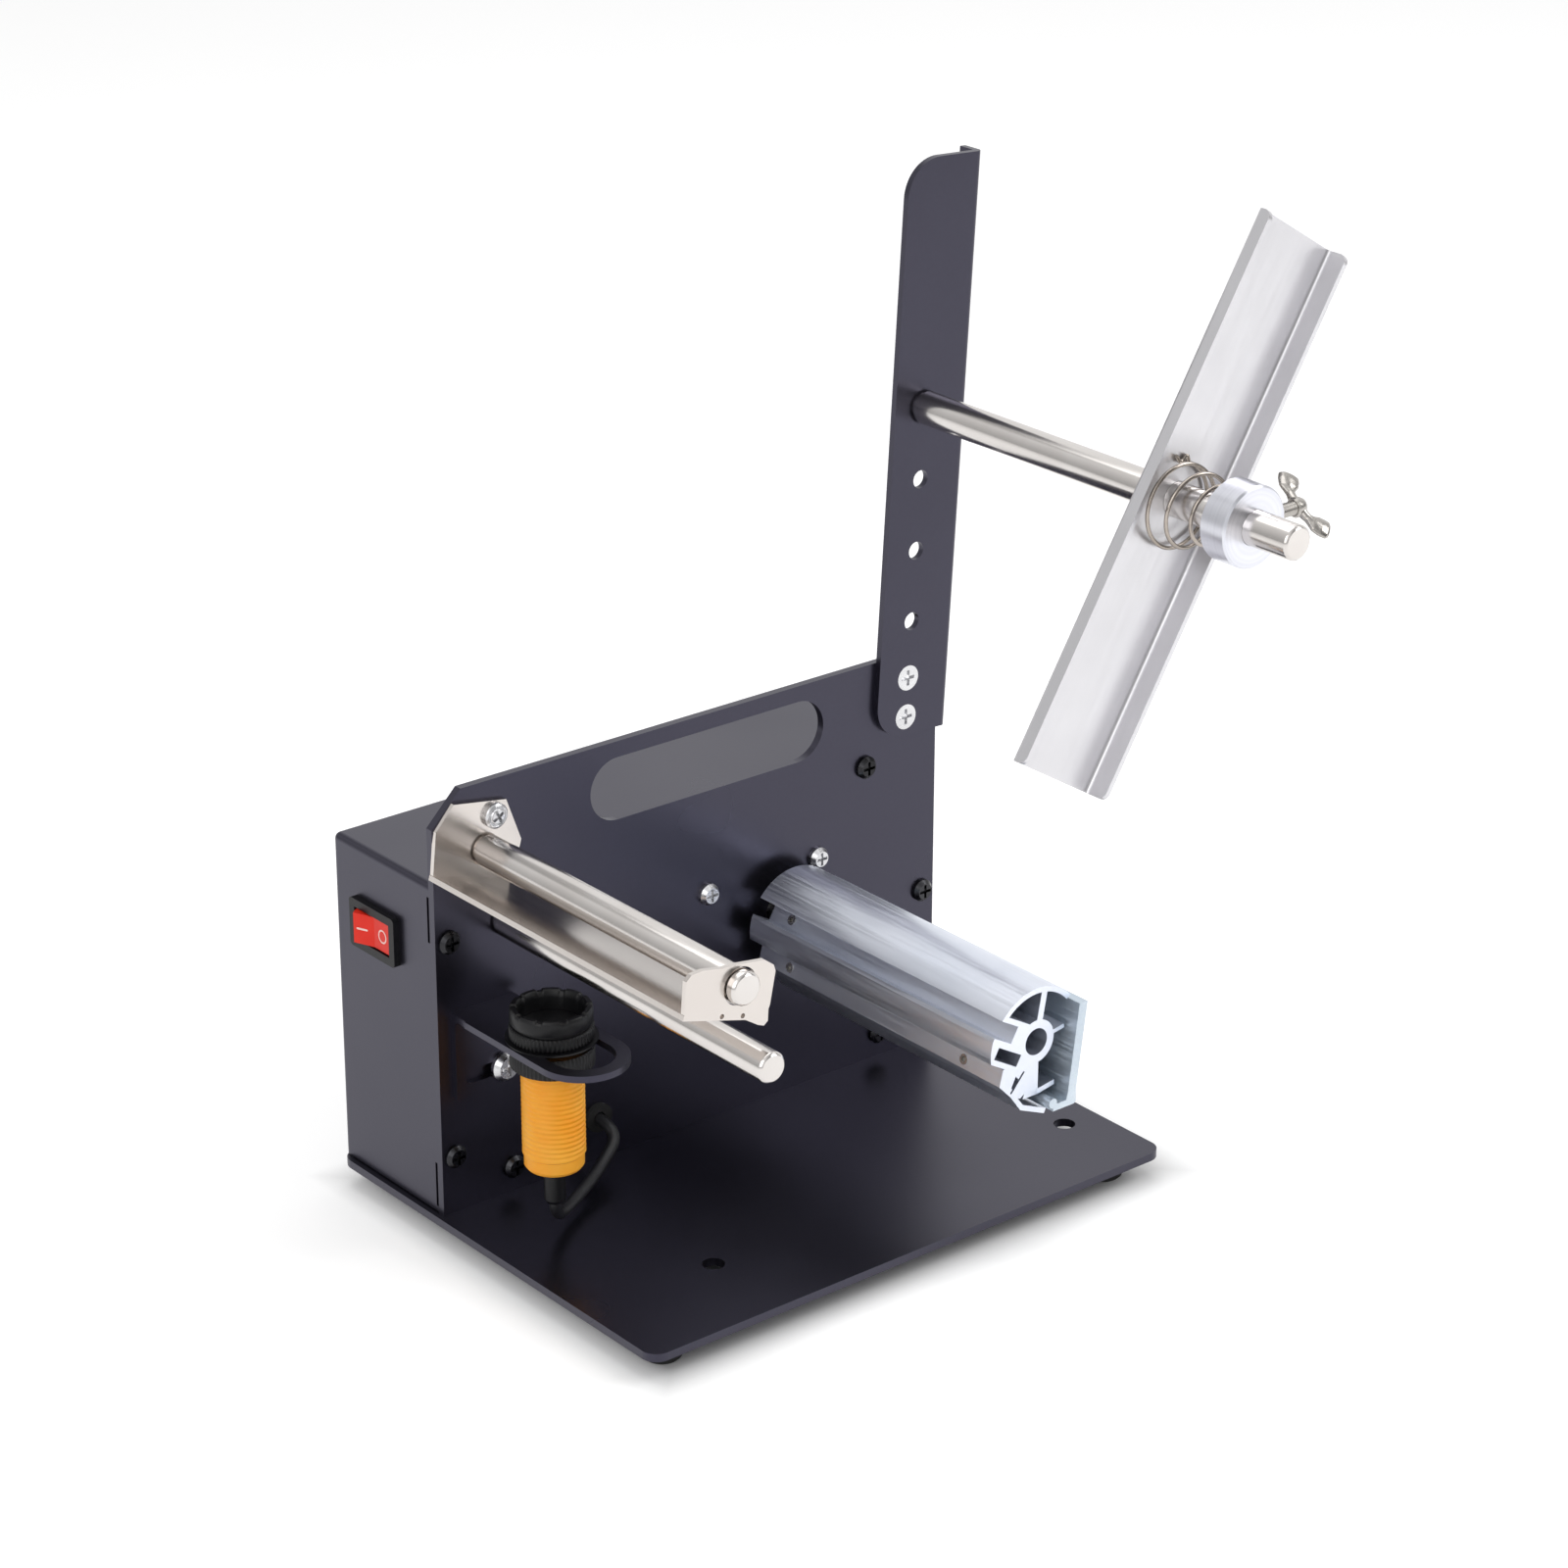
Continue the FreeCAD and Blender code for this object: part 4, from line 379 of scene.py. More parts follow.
# Moulded rubber: matt, with hardly a highlight
RUBBER = Moulded("black_rubber", "151515", "1d1d1d", 0.7, 0.8)
# Extruded vinyl jacket: nearly black, with a soft line of gloss along it
CABLE_JACKET = Moulded("pvc_cable_jacket", "151518", "1e1e21", 0.45, 0.6)
# Moulded acrylonitrile butadiene styrene: fine even grain, soft gloss
BLACK_ABS = Moulded("black_abs", "0b0b0d", "101013", 0.4, 0.4, gloss_level=0.3)
# Orange moulding: strong yellowish orange, a little light goes into it
SENSOR_ORANGE = Moulded("orange_abs", "ffa41e", "ffb43a", 0.45, 0.5, glow=0.1, gloss_level=0.4)
# Red moulding: deep in colour, with low soft gloss
ROCKER_RED = Moulded("red_polycarbonate", "e62412", "ee3622", 0.36, 0.6, glow=0.1, gloss_level=0.3)
# Pad printed marks: a thin film of white ink, tinted by the red under it
MARK_INK = Moulded("white_pad_print", "f6cfc6", "ffe2da", 0.45, 0.6)
# Solder mask over glass fibre board: deep green under a thin glossy coat
SOLDER_MASK = Moulded("green_solder_mask", "0f4a2a", "146036", 0.3, 1.2, coat=0.3)


def add_object(name: str, data: bpy.types.ID) -> bpy.types.Object:
    """Add an object to the scene, at the origin."""
    made = bpy.data.objects.new(name, data)
    bpy.context.scene.collection.objects.link(made)
    return made


def dress(names: Iterable[str], finish: Finish) -> None:
    """Give CAD nodes a finish."""
    for name in names:
        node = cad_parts[name]
        node.data.materials.clear()
        node.data.materials.append(FINISHES.get(finish))
        LOG.info("%s: %s", name, finish.name)


def grid_mesh(name: str, points: np.ndarray, finish: Finish, ring: bool = False) -> bpy.types.Object:
    """Make a smoothly shaded closed piece from a grid of points, whose columns run round it.

    Args:
        name: the piece's name.
        points: an array of rows by columns by three, in metres.
        finish: its finish.
        ring: joins the last row to the first; if not, each of the two is closed by a face.

    Returns:
        The piece.
    """
    rows, columns = points.shape[:2]
    here, there = np.meshgrid(np.arange(rows if ring else rows - 1), np.arange(columns), indexing="ij")
    next_row, next_column = (here + 1) % rows, (there + 1) % columns
    quads = np.stack([
        here * columns + there, next_row * columns + there,
        next_row * columns + next_column, here * columns + next_column,
    ], axis=-1).reshape(-1, 4)
    faces = [tuple(quad) for quad in quads.tolist()]
    if not ring:
        first = tuple(range(columns))
        last = tuple(range((rows - 1) * columns, rows * columns))
        faces += [first, last[::-1]]
    mesh = bpy.data.meshes.new(name)
    mesh.from_pydata(points.reshape(-1, 3).tolist(), [], faces)
    mesh.polygons.foreach_set("use_smooth", np.full(len(mesh.polygons), True))
    mesh.materials.append(FINISHES.get(finish))
    mesh.validate()
    LOG.info("%s: %d faces", name, len(faces))
    return add_object(name, mesh)


def outward(piece: bpy.types.Object) -> None:
    """Point all of a closed piece's faces outwards."""
    work = bmesh.new()
    work.from_mesh(piece.data)
    bmesh.ops.remove_doubles(work, verts=work.verts, dist=SAME_PLACE)
    bmesh.ops.recalc_face_normals(work, faces=work.faces)
    work.to_mesh(piece.data)
    work.free()
    piece.data.set_sharp_from_angle(angle=SHARP_ANGLE)


def stand_for(piece: bpy.types.Object, body: str, slot: str, *nodes: str) -> None:
    """Close a new piece, let it ride on a body and stand for CAD nodes.

    Args:
        piece: the new piece.
        body: the body it rides on.
        slot: the record's material slot; not used.
        nodes: the CAD nodes that it replaces.
    """
    outward(piece)
    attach(piece, body)
    if nodes:
        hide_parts(*nodes)


def bend_for(
    piece: bpy.types.Object, node: str,
) -> None:
    """Close a new piece, fix its place into its points and let it stand for a CAD node.

    Args:
        piece: the new piece.
        node: the CAD node that it replaces.
    """
    outward(piece)
    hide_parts(node)
    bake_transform(piece)


def swept(path: np.ndarray, radius: np.ndarray | float, sides: int = 14) -> np.ndarray:
    """Carry a circle along a path: each ring lies across the path's direction there.

    So that the rings don't twist, each one's first side is that of the ring before it, less what of that
    lies along the path.

    Args:
        path: points along the middle, in metres.
        radius: one radius, or one for each point.
        sides: points around each ring.

    Returns:
        A grid of rings by sides by three.
    """
    direction = np.gradient(path, axis=0)
    direction /= np.linalg.norm(direction, axis=1, keepdims=True)
    first = np.cross(direction[0], SLANT)
    sides_of = np.zeros_like(path)
    sides_of[0] = first / np.linalg.norm(first)
    for at in range(1, len(path)):
        side = sides_of[at - 1] - direction[at] * np.dot(sides_of[at - 1], direction[at])
        sides_of[at] = side / np.linalg.norm(side)
    other = np.cross(direction, sides_of)
    turn = np.linspace(0.0, 2 * math.pi, sides, endpoint=False)
    size = np.broadcast_to(np.asarray(radius, float), (len(path),))
    cosine, sine = np.cos(turn)[None, :, None], np.sin(turn)[None, :, None]
    ring = cosine * sides_of[:, None, :] + sine * other[:, None, :]
    return path[:, None, :] + size[:, None, None] * ring


def about(
    radius: np.ndarray, along: np.ndarray, turn: np.ndarray, centre: tuple[float, float, float], axis: str
) -> np.ndarray:
    """Set points about an axis, from their radius, their distance along it and their angle round it.

    Args:
        radius: distances from the axis, in millimetres.
        along: distances along the axis, in millimetres.
        turn: angles in radians.
        centre: where the axis starts, in millimetres.
        axis: "x", "y" or "z".

    Returns:
        The points, in metres.
    """
    one, two, three = radius * np.cos(turn), radius * np.sin(turn), along + 0 * turn
    stacks = {"x": (three, one, two), "y": (two, three, one), "z": (one, two, three)}
    return (np.stack(stacks[axis], axis=-1) + np.array(centre)) * MM


def around(sides: int) -> np.ndarray:
    """Give angles evenly round a circle, as one row."""
    return np.linspace(0.0, 2 * math.pi, sides, endpoint=False)[None, :]


def turned(
    profile: list[tuple[float, float]], centre: tuple[float, float, float], axis: str, sides: int = 96
) -> np.ndarray:
    """Turn a profile of radius and distance along an axis about that axis.

    Args:
        profile: radius and distance along the axis, in millimetres.
        centre: where the axis starts, in millimetres.
        axis: "x", "y" or "z".
        sides: points around.

    Returns:
        A grid of profile points by sides by three, in metres.
    """
    rows = np.array(profile)
    return about(rows[:, 0:1], rows[:, 1:2], around(sides), centre, axis)


def threaded(
    knots: list[tuple[float, float]], thread: tuple[float, float], pitch: float, depth: float,
    centre: tuple[float, float, float], axis: str, sides: int = 72,
) -> np.ndarray:
    """Turn a rod with a thread on it.

    The radius runs straight between the knots. From it goes a rounded groove, half of one less the cosine
    of the distance over the pitch plus the angle, which fades out at the thread's two ends.

    Args:
        knots: distance along the axis and radius, in millimetres.
        thread: where the thread starts and ends.
        pitch: the thread's pitch.
        depth: the groove's depth.
        centre: where the axis starts, in millimetres.
        axis: "x", "y" or "z".
        sides: points around.

    Returns:
        A grid of rings by sides by three, in metres.
    """
    places, radii = np.array(knots).T
    count = int((places[-1] - places[0]) / pitch * RINGS_PER_PITCH)
    along = np.union1d(np.linspace(places[0], places[-1], count), places)[:, None]
    turn = around(sides)
    groove = 0.5 - 0.5 * np.cos(2 * math.pi * along / pitch + turn)
    fade = np.clip((along - thread[0]) / pitch, 0, 1) * np.clip((thread[1] - along) / pitch, 0, 1)
    return about(np.interp(along, places, radii) - depth * fade * groove, along, turn, centre, axis)


@dataclass(frozen=True)
class GroundRod:
    """A ground steel rod that runs towards the user from the middle of its back end; sizes in millimetres.

    Its chamfer is a list of steps at the free end: how much is cut off the radius, and how far from the end.
    """

    name: str
    node: str
    centre: tuple[float, float, float]
    radius: float
    length: float
    undercut: float = 0.7
    undercut_ends: tuple[float, float] = (0.9, 1.1)
    chamfer: tuple[tuple[float, float], ...] = ((0.0, 1.0), (0.12, 0.6), (0.8, 0.0))
    face_dip: float = 0.05

    def build(self) -> None:
        """Turn the rod, undercut at its root and chamfered at its free end."""
        free, root = -self.length, self.radius - self.undercut
        inner, outer = self.undercut_ends
        profile = [(AXIS_GAP, 0.0), (root, 0.0), (root, -inner), (self.radius, -outer)]
        profile += [(self.radius - cut, free + back) for cut, back in self.chamfer]
        profile += [(0.5 * self.radius, free + self.face_dip), (AXIS_GAP, free + self.face_dip)]
        rod = grid_mesh(self.name, turned(profile, self.centre, "y"), GROUND_ROD)
        stand_for(rod, "stand", "stainless", self.node)


@dataclass(frozen=True)
class WingScrew:
    """Wing screw in the collar's side: threaded stem, turned hub and two cast wings; sizes in millimetres.

    The hub is a profile of radius and distance from its seat. The outline gives a wing's half breadth and
    half thickness at shares of the way out.
    """

    middle: tuple[float, float, float]
    seat: float
    tip: tuple[tuple[float, float], ...] = ((5.15, 1.6), (5.6, 2.0))
    stem_radius: float = 2.0
    stem_in_hub: float = 0.4
    thread_start: float = 5.2
    pitch: float = 0.7
    thread_depth: float = 0.28
    hub: tuple[tuple[float, float], ...] = (
        (AXIS_GAP, -0.4), (2.4, -0.4), (2.9, 0.2), (2.7, 2.0), (2.2, 3.0), (1.5, 3.4), (AXIS_GAP, 3.5),
    )
    wing_turn: float = 36.9
    wing_root: float = 1.2
    wing_reach: float = 8.9
    wing_foot: float = 1.6
    wing_rise: float = 4.4
    outline: tuple[tuple[float, float, float], ...] = (
        (0.0, 2.0, 1.8), (0.15, 1.4, 1.4), (0.35, 1.3, 1.2), (0.48, 2.0, 1.2), (0.6, 2.9, 1.3),
        (0.8, 3.2, 1.35), (0.93, 3.1, 1.2), (0.98, 2.3, 0.8), (1.0, 0.1, 0.1),
    )

    def build(self) -> None:
        """Make the stem, the hub and both wings."""
        stem = threaded(
            [*self.tip, (self.seat + self.stem_in_hub, self.stem_radius)], (self.thread_start, self.seat),
            self.pitch, self.thread_depth, self.middle, "x", 40,
        )
        piece = grid_mesh("wing_screw_stem", stem, NICKEL)
        stand_for(piece, "wing", "plated_casting", "wing_screw")
        profile = [(radius, self.seat + along) for radius, along in self.hub]
        grid = turned(profile, self.middle, "x", 48)
        hub = grid_mesh("wing_screw_hub", grid, NICKEL)
        stand_for(hub, "wing", "plated_casting")
        for side, name in ((1.0, "upper"), (-1.0, "lower")):
            wing = grid_mesh(f"wing_screw_{name}_wing", self.wing(side), NICKEL)
            stand_for(wing, "wing", "plated_casting")

    def wing(self, side: float) -> np.ndarray:
        """Shape one wing.

        Its middle line goes out from the hub and bends up along the screw as the square of its share.
        Each ring on it is an ellipse across the line, whose two half widths follow the outline.

        Args:
            side: 1 for the upper wing and -1 for the lower one.

        Returns:
            A grid of rings by sides by three, in metres.
        """
        screw = np.array((1.0, 0.0, 0.0))
        out = np.array((0.0, math.cos(math.radians(self.wing_turn)), math.sin(math.radians(self.wing_turn))))
        share = np.sin(np.linspace(0.0, 0.5 * math.pi, 48))[:, None]
        turn = around(28)[..., None]
        line = np.array(self.middle) + side * out * (self.wing_root + self.wing_reach * share)
        line = line + screw * (self.seat + self.wing_foot + self.wing_rise * share ** 2)
        along = np.gradient(line, axis=0)
        along /= np.linalg.norm(along, axis=1, keepdims=True)
        thin = np.cross(screw, out)
        wide = np.cross(along, thin)
        shares, breadths, depths = np.array(self.outline).T
        breadth = np.interp(share[:, 0], shares, breadths)[:, None, None]
        depth = np.interp(share[:, 0], shares, depths)[:, None, None]
        rings = line[:, None, :] + breadth * np.cos(turn) * wide[:, None, :] + depth * np.sin(turn) * thin
        return rings * MM


@dataclass
class Stand:
    """Base, front plate, cover and upright, all in black powder coat."""

    painted: tuple[str, ...] = ("base_plate", "front_plate", "cover", "upright", "plate_angles")

    def build(self) -> None:
        """Dress the stand's pieces."""
        dress(self.painted, BLACK_PAINT)
        dress(["base_feet", "cable_grommet"], RUBBER)


@dataclass
class ReelHolder:
    """Reel shaft with its guide, spring, collar and wing screw; sizes in millimetres."""

    axis_x: float = 83.175
    axis_z: float = 215.936
    shaft_back: float = 23.0
    shaft_length: float = 150.7
    shaft_radius: float = 5.0
    web_y: float = -81.4
    collar_y: float = -101.8
    collar_length: float = 9.6
    collar_radius: float = 11.7
    wire: float = 1.2
    big: float = 12.0
    small: float = 7.2
    closed: float = 1.1
    open: float = 2.4
    tang: float = 1.7
    tang_turn: float = 0.3
    tang_width: float = 0.07
    sag: tuple[float, float, float] = (-1.6, 0.0, -0.9)
    end_wires: float = 0.6
    closed_wires: float = 2.2
    spring_rings: int = 1500
    screw_seat: float = 8.0

    def build(self) -> None:
        """Make the shaft, wind the spring, cast the wing screw and dress the rest."""
        centre = (self.axis_x, self.shaft_back, self.axis_z)
        GroundRod("ground_reel_shaft", "reel_shaft", centre, self.shaft_radius, self.shaft_length).build()
        dress(["reel_channel"], BRUSHED_GUIDE)
        face = (self.axis_x, self.collar_y, self.axis_z)
        # Bright turned aluminium: pale and a little blue, with faint rings
        turned_face = FacedMetal(
            "turned_aluminium", "e4e5ec", "d9dae2", 0.3, face, ring_mm=0.9, strength=0.05
        )
        dress(["collar"], turned_face)
        self.wind_spring()
        middle = (self.axis_x, self.collar_y - 0.5 * self.collar_length, self.axis_z)
        WingScrew(middle, self.collar_radius + self.screw_seat).build()

    def wind_spring(self) -> None:
        """Wind the conical spring, big end on the guide.

        Its middle line turns steadily. The radius stays large over the closed coils and then falls evenly
        to the small end. The distance along the shaft grows by a little over two wires a turn in the
        closed coils, and evenly over what is left in the open ones. The wire's bent end stands out from
        the ring as two short prongs beside each other: there two bell curves of the angle are added to the
        radius. The big end hangs a little off the shaft's middle, and this fades out, as the square of
        what is left, towards the small end.
        """
        coils = self.closed + self.open
        turn = np.linspace(0.0, 2 * math.pi * coils, self.spring_rings)
        opened = np.clip((turn / (2 * math.pi) - self.closed) / self.open, 0.0, 1.0)
        bells = np.exp(-(turn / self.tang_width) ** 2)
        bells = bells + np.exp(-((turn - self.tang_turn) / self.tang_width) ** 2)
        radius = self.big + (self.small - self.big) * opened + self.tang * bells
        gap = self.end_wires * self.wire
        first, last = self.web_y - gap, self.collar_y + gap
        shut = first - self.closed_wires * self.wire * np.minimum(turn / (2 * math.pi), self.closed)
        along = shut + (last - shut[-1]) * opened
        path = about(radius, along, turn, (self.axis_x, 0.0, self.axis_z), "y")
        path = path + (1.0 - opened)[:, None] ** 2 * np.array(self.sag) * MM
        grid = swept(path, 0.5 * self.wire * MM)
        spring = grid_mesh("wound_spring", grid, SPRING_WIRE)
        bend_for(spring, "reel_spring")


@dataclass
class PeelStation:
    """Peel bracket and the two rods that guide the label web; sizes in millimetres."""

    upper: tuple[float, float, float] = (-75.8, 23.5, 119.6)
    upper_radius: float = 4.8
    upper_length: float = 115.1
    lower: tuple[float, float, float] = (-69.1, 25.0, 95.6)
    lower_radius: float = 4.5
    lower_length: float = 119.0
    screw: tuple[float, float, float] = (-73.1, 23.5, 129.5)
    head_radius: float = 3.75
    head_height: float = 2.4
    head_drop: float = 0.45
    groove_radius: float = 2.55
    groove_width: float = 0.28
    groove_depth: float = 0.6
    recess_turn: float = 0.5
    recess_depth: float = 1.3
    arm_half: float = 0.5
    arm_slope: float = 0.16
    arm_reach: float = 1.9
    arm_end_slope: float = 0.3
    shank_radius: float = 1.95
    shank_length: float = 8.0

    def build(self) -> None:
        """Dress the bracket, make its rods and its screw."""
        dress(["peel_bracket"], BRUSHED_BRACKET)
        self.make_screw()
        GroundRod(
            "ground_upper_rod", "upper_rod", self.upper, self.upper_radius, self.upper_length
        ).build()
        GroundRod(
            "ground_guide_rod", "lower_guide_rod", self.lower, self.lower_radius, self.lower_length
        ).build()

    def make_screw(self) -> None:
        """Make the bracket's screw: a washer head with a ring groove and a cross recess.

        The head's face is a grid of radii and angles. Its height is a low dome, less a rounded groove about
        one radius, less a cross: there the smaller of the two offsets from the middle is under half an
        arm's width, and the larger one under an arm's reach.
        """
        sides = 144
        radius = np.linspace(AXIS_GAP, self.head_radius, 60)[:, None]
        turn = around(sides)
        dome = self.head_height * (1.0 - self.head_drop * (radius / self.head_radius) ** 4)
        groove = self.groove_depth * np.exp(-((radius - self.groove_radius) / self.groove_width) ** 2)
        across = np.abs(radius * np.cos(turn + self.recess_turn))
        up = np.abs(radius * np.sin(turn + self.recess_turn))
        arm = np.clip((self.arm_half - np.minimum(across, up)) / self.arm_slope, 0.0, 1.0)
        arm = arm * np.clip((self.arm_reach - np.maximum(across, up)) / self.arm_end_slope, 0.0, 1.0)
        face = about(radius, -(dome - groove - self.recess_depth * arm), turn, self.screw, "y")
        profile = [
            (self.head_radius, 0.0), (self.shank_radius, 0.0), (self.shank_radius, self.shank_length),
            (AXIS_GAP, self.shank_length),
        ]
        shank = turned(profile, self.screw, "y", sides)
        piece = grid_mesh("peel_screw", np.concatenate([face, shank]), ZINC)
        stand_for(piece, "stand", "zinc", "peel_bracket_screw")


@dataclass
class LabelSensor:
    """Cylinder sensor in its slotted bracket; sizes in millimetres."""

    x: float = -75.6
    y: float = -5.0
    low: float = 32.8
    top: float = 75.1
    radius: float = 9.0
    end_step: float = 4.3
    pitch: float = 1.5
    thread_depth: float = 0.22
    plate_top: float = 72.6
    nut_radius: float = 12.0
    ribs: int = 60
    rib_height: float = 0.15
    notches: int = 10
    notch_depth: float = 0.5
    cable_radius: float = 1.8

    def build(self) -> None:
        """Dress the sensor, thread its barrel, rib its nuts and lay its cable."""
        dress(["sensor_bracket"], BLACK_PAINT)
        dress(["sensor_cable_stub", "sensor_lens"], BLACK_ABS)
        self.thread_barrel()
        self.rib_nuts()
        self.lay_cable()

    def thread_barrel(self) -> None:
        """Make the threaded barrel, with its plain stepped end below."""
        step = self.low + self.end_step
        knots = [
            (self.low, 0.88 * self.radius), (self.low + 0.9, 0.95 * self.radius),
            (step, 0.95 * self.radius), (step + 0.45, self.radius), (self.top, self.radius),
        ]
        thread = (step + 0.6, self.top - 0.4)
        centre = (self.x, self.y, 0.0)
        grid = threaded(knots, thread, self.pitch, self.thread_depth, centre, "z", 84)
        barrel = grid_mesh("threaded_barrel", grid, SENSOR_ORANGE)
        stand_for(barrel, "sensor", "sensor_orange", "sensor_barrel")

    def rib_nuts(self) -> None:
        """Make the collar above the plate, on its flat washer, and the nut below it.

        Each is a closed ring of profile points: radius, height, and whether the point carries the ribs and
        the crown. Where it carries ribs, a cosine of the angle is added to its radius, and where it carries
        the crown, the rim drops in a row of rounded notches.
        """
        bore, wall = self.radius + 0.1, self.nut_radius
        base, rim = self.plate_top, self.plate_top + 10.0
        collar = [
            (bore, base, 0, 0), (wall + 1.1, base, 0, 0), (wall + 1.1, base + 0.6, 0, 0),
            (wall - 0.5, base + 0.6, 0, 0), (wall - 0.15, base + 1.0, 1, 0),
            (wall - 0.15, base + 4.0, 1, 0),
            (wall - 0.5, base + 4.4, 0, 0), (wall - 1.1, base + 4.6, 0, 0), (wall - 1.1, base + 5.1, 0, 0),
            (wall - 0.5, base + 5.3, 0, 0), (wall - 0.3, base + 5.6, 0, 0), (wall - 0.3, base + 8.6, 0, 0),
            (wall - 0.4, rim - 0.6, 0, 1), (wall - 0.8, rim - 0.1, 0, 1),
            (bore + 0.9, rim - 0.1, 0, 1), (bore + 0.5, rim - 0.6, 0, 1), (bore, rim - 2.2, 0, 0),
        ]
        under = base - 2.0
        nut = [
            (bore, under - 6.0, 0, 0), (wall - 0.5, under - 6.0, 0, 0), (wall - 0.15, under - 5.6, 1, 0),
            (wall - 0.15, under - 0.5, 1, 0), (wall - 0.5, under, 0, 0), (bore, under, 0, 0),
        ]
        turn = around(6 * self.ribs)
        notch = np.clip(4.0 * np.cos(self.notches * turn) - 2.2, 0.0, 1.0)
        for name, node, rows in (
            ("ribbed_collar", "sensor_upper_nut", collar), ("ribbed_nut", "sensor_lower_nut", nut),
        ):
            radius, along, rib, crown = (np.array(rows)[:, at:at + 1] for at in range(4))
            grid = about(
                radius + self.rib_height * rib * np.cos(self.ribs * turn),
                along - self.notch_depth * crown * notch, turn, (self.x, self.y, 0.0), "z",
            )
            piece = grid_mesh(name, grid, BLACK_ABS, ring=True)
            stand_for(piece, "sensor", "black_plastic", node)

    def lay_cable(self) -> None:
        """Lay the cable from the stub through the grommet to the board, in two lengths that meet."""
        route = np.array([
            (-75.6, -5.0, 21.2), (-75.6, -5.0, 15.9), (-66.1, 1.2, 13.8), (-54.6, 7.2, 14.6),
            (-44.9, 12.6, 16.6), (-38.3, 15.6, 20.2), (-38.1, 20.8, 23.4), (-38.1, 34.5, 23.4),
        ]) * MM
        curve = bpy.data.curves.new("sensor_cable_route", "CURVE")
        curve.dimensions = "3D"
        curve.resolution_u = 16
        spline = curve.splines.new("NURBS")
        spline.points.add(len(route) - 1)
        spline.points.foreach_set("co", np.column_stack([route, np.ones(len(route))]).ravel())
        spline.order_u = 3
        spline.use_endpoint_u = True
        holder = add_object("sensor_cable_route", curve)
        line = bpy.data.meshes.new_from_object(holder.evaluated_get(bpy.context.evaluated_depsgraph_get()))
        path = np.zeros(len(line.vertices) * 3)
        line.vertices.foreach_get("co", path)
        path = path.reshape(-1, 3)
        bpy.data.objects.remove(holder)
        half = len(path) // 2
        for name, run, bodies in (
            ("cable_at_sensor", path[:half + 1], ("sensor", "bracket")),
            ("cable_at_plate", path[half:], ("bracket", "stand")),
        ):
            grid = swept(run, self.cable_radius * MM, 20)
            piece = grid_mesh(name, grid, CABLE_JACKET)
            bend_for(piece, "sensor_cable")


@dataclass
class PowerSwitch:
    """Snap-in rocker switch in the cover's left wall; sizes in millimetres."""

    x: float = -91.6
    y: float = 53.7
    z: float = 89.1
    tilt: float = 11.0
    face: float = 3.0
    film: float = 0.06
    off_reach: float = 4.0
    off_size: tuple[float, float] = (1.75, 1.85)
    off_line: float = 0.5
    on_reach: float = 4.1
    on_size: tuple[float, float] = (1.9, 0.0)
    on_line: float = 0.62

    def build(self) -> None:
        """Dress the switch and print its two marks."""
        dress(["switch_housing", "supply_inlet"], BLACK_ABS)
        dress(["switch_rocker"], ROCKER_RED)
        dress(["rocker_pin"], ZINC)
        tilt = math.radians(self.tilt)
        ridge = np.array((self.x - self.face * math.cos(tilt), self.y - self.face * math.sin(tilt), self.z))
        outer = np.array((-math.sin(2 * tilt), math.cos(2 * tilt), 0.0))
        inner = np.array((0.0, -1.0, 0.0))
        self.print_mark("off_mark", ridge + self.off_reach * inner, inner, self.off_size, self.off_line)
        self.print_mark("on_mark", ridge + self.on_reach * outer, outer, self.on_size, self.on_line)

    def print_mark(
        self, name: str, middle: np.ndarray, along: np.ndarray, size: tuple[float, float], line: float
    ) -> None:
        """Print a closed line on the rocker: an oval ring, or a bar where its height is nothing.

        The line's rings lie round an ellipse or along the bar, and each is a flat oval as wide as the line.
        A bar's rings shrink near its two ends, as a high power of the share of the way out.

        Args:
            name: the piece's name.
            middle: the mark's middle on the rocker's face.
            along: the face's direction across the marks.
            size: half the mark's width and height.
            line: the printed line's width.
        """
        up = np.array((0.0, 0.0, 1.0))
        out = np.cross(along, up)
        out = out * (-1.0 if out[0] > 0 else 1.0)
        steps = 64
        turn, ring = around(steps).T[..., None], around(8)[..., None]
        if size[1]:
            centre = size[0] * np.cos(turn) * along + size[1] * np.sin(turn) * up
            side = np.cos(turn) * along + np.sin(turn) * up
        else:
            share = np.linspace(-1.0, 1.0, steps)[:, None, None]
            centre = size[0] * share * along
            side = up * np.sqrt(np.clip(1.0 - share ** 16, 0.01, 1.0))
        flat = 0.5 * line * np.cos(ring) * side + self.film * np.sin(ring) * out
        mark = grid_mesh(name, (middle + centre + flat) * MM, MARK_INK, ring=bool(size[1]))
        stand_for(mark, "rocker", "rocker_red")


@dataclass
class Winder:
    """Gear motor, extruded spool and clamp bar."""

    steel: tuple[str, ...] = ("gearbox", "motor")

    def build(self) -> None:
        """Dress the winder."""
        dress(["spool_core"], EXTRUSION)
        dress(["clamp_bar"], CLAMP_STRIP)
        dress(["spool_grub_screws"], GRUB_STEEL)
        dress(["motor_shaft"], ZINC)
        dress(self.steel, MOTOR_STEEL)


@dataclass
class Fasteners:
    """Screws and nuts, black or bright."""

    black: tuple[str, ...] = ("plate_screws", "base_screws")
    bright: tuple[str, ...] = (
        "base_nuts", "clinch_nuts", "upright_screws", "upright_nuts", "bracket_nuts",
        "rod_screws", "sensor_bracket_screw", "motor_screws", "reel_shaft_screw", "board_screws",
        "board_standoffs", "inlet_nut",
    )

    def build(self) -> None:
        """Dress the fasteners."""
        dress(self.black, BLACK_OXIDE)
        dress(self.bright, ZINC)


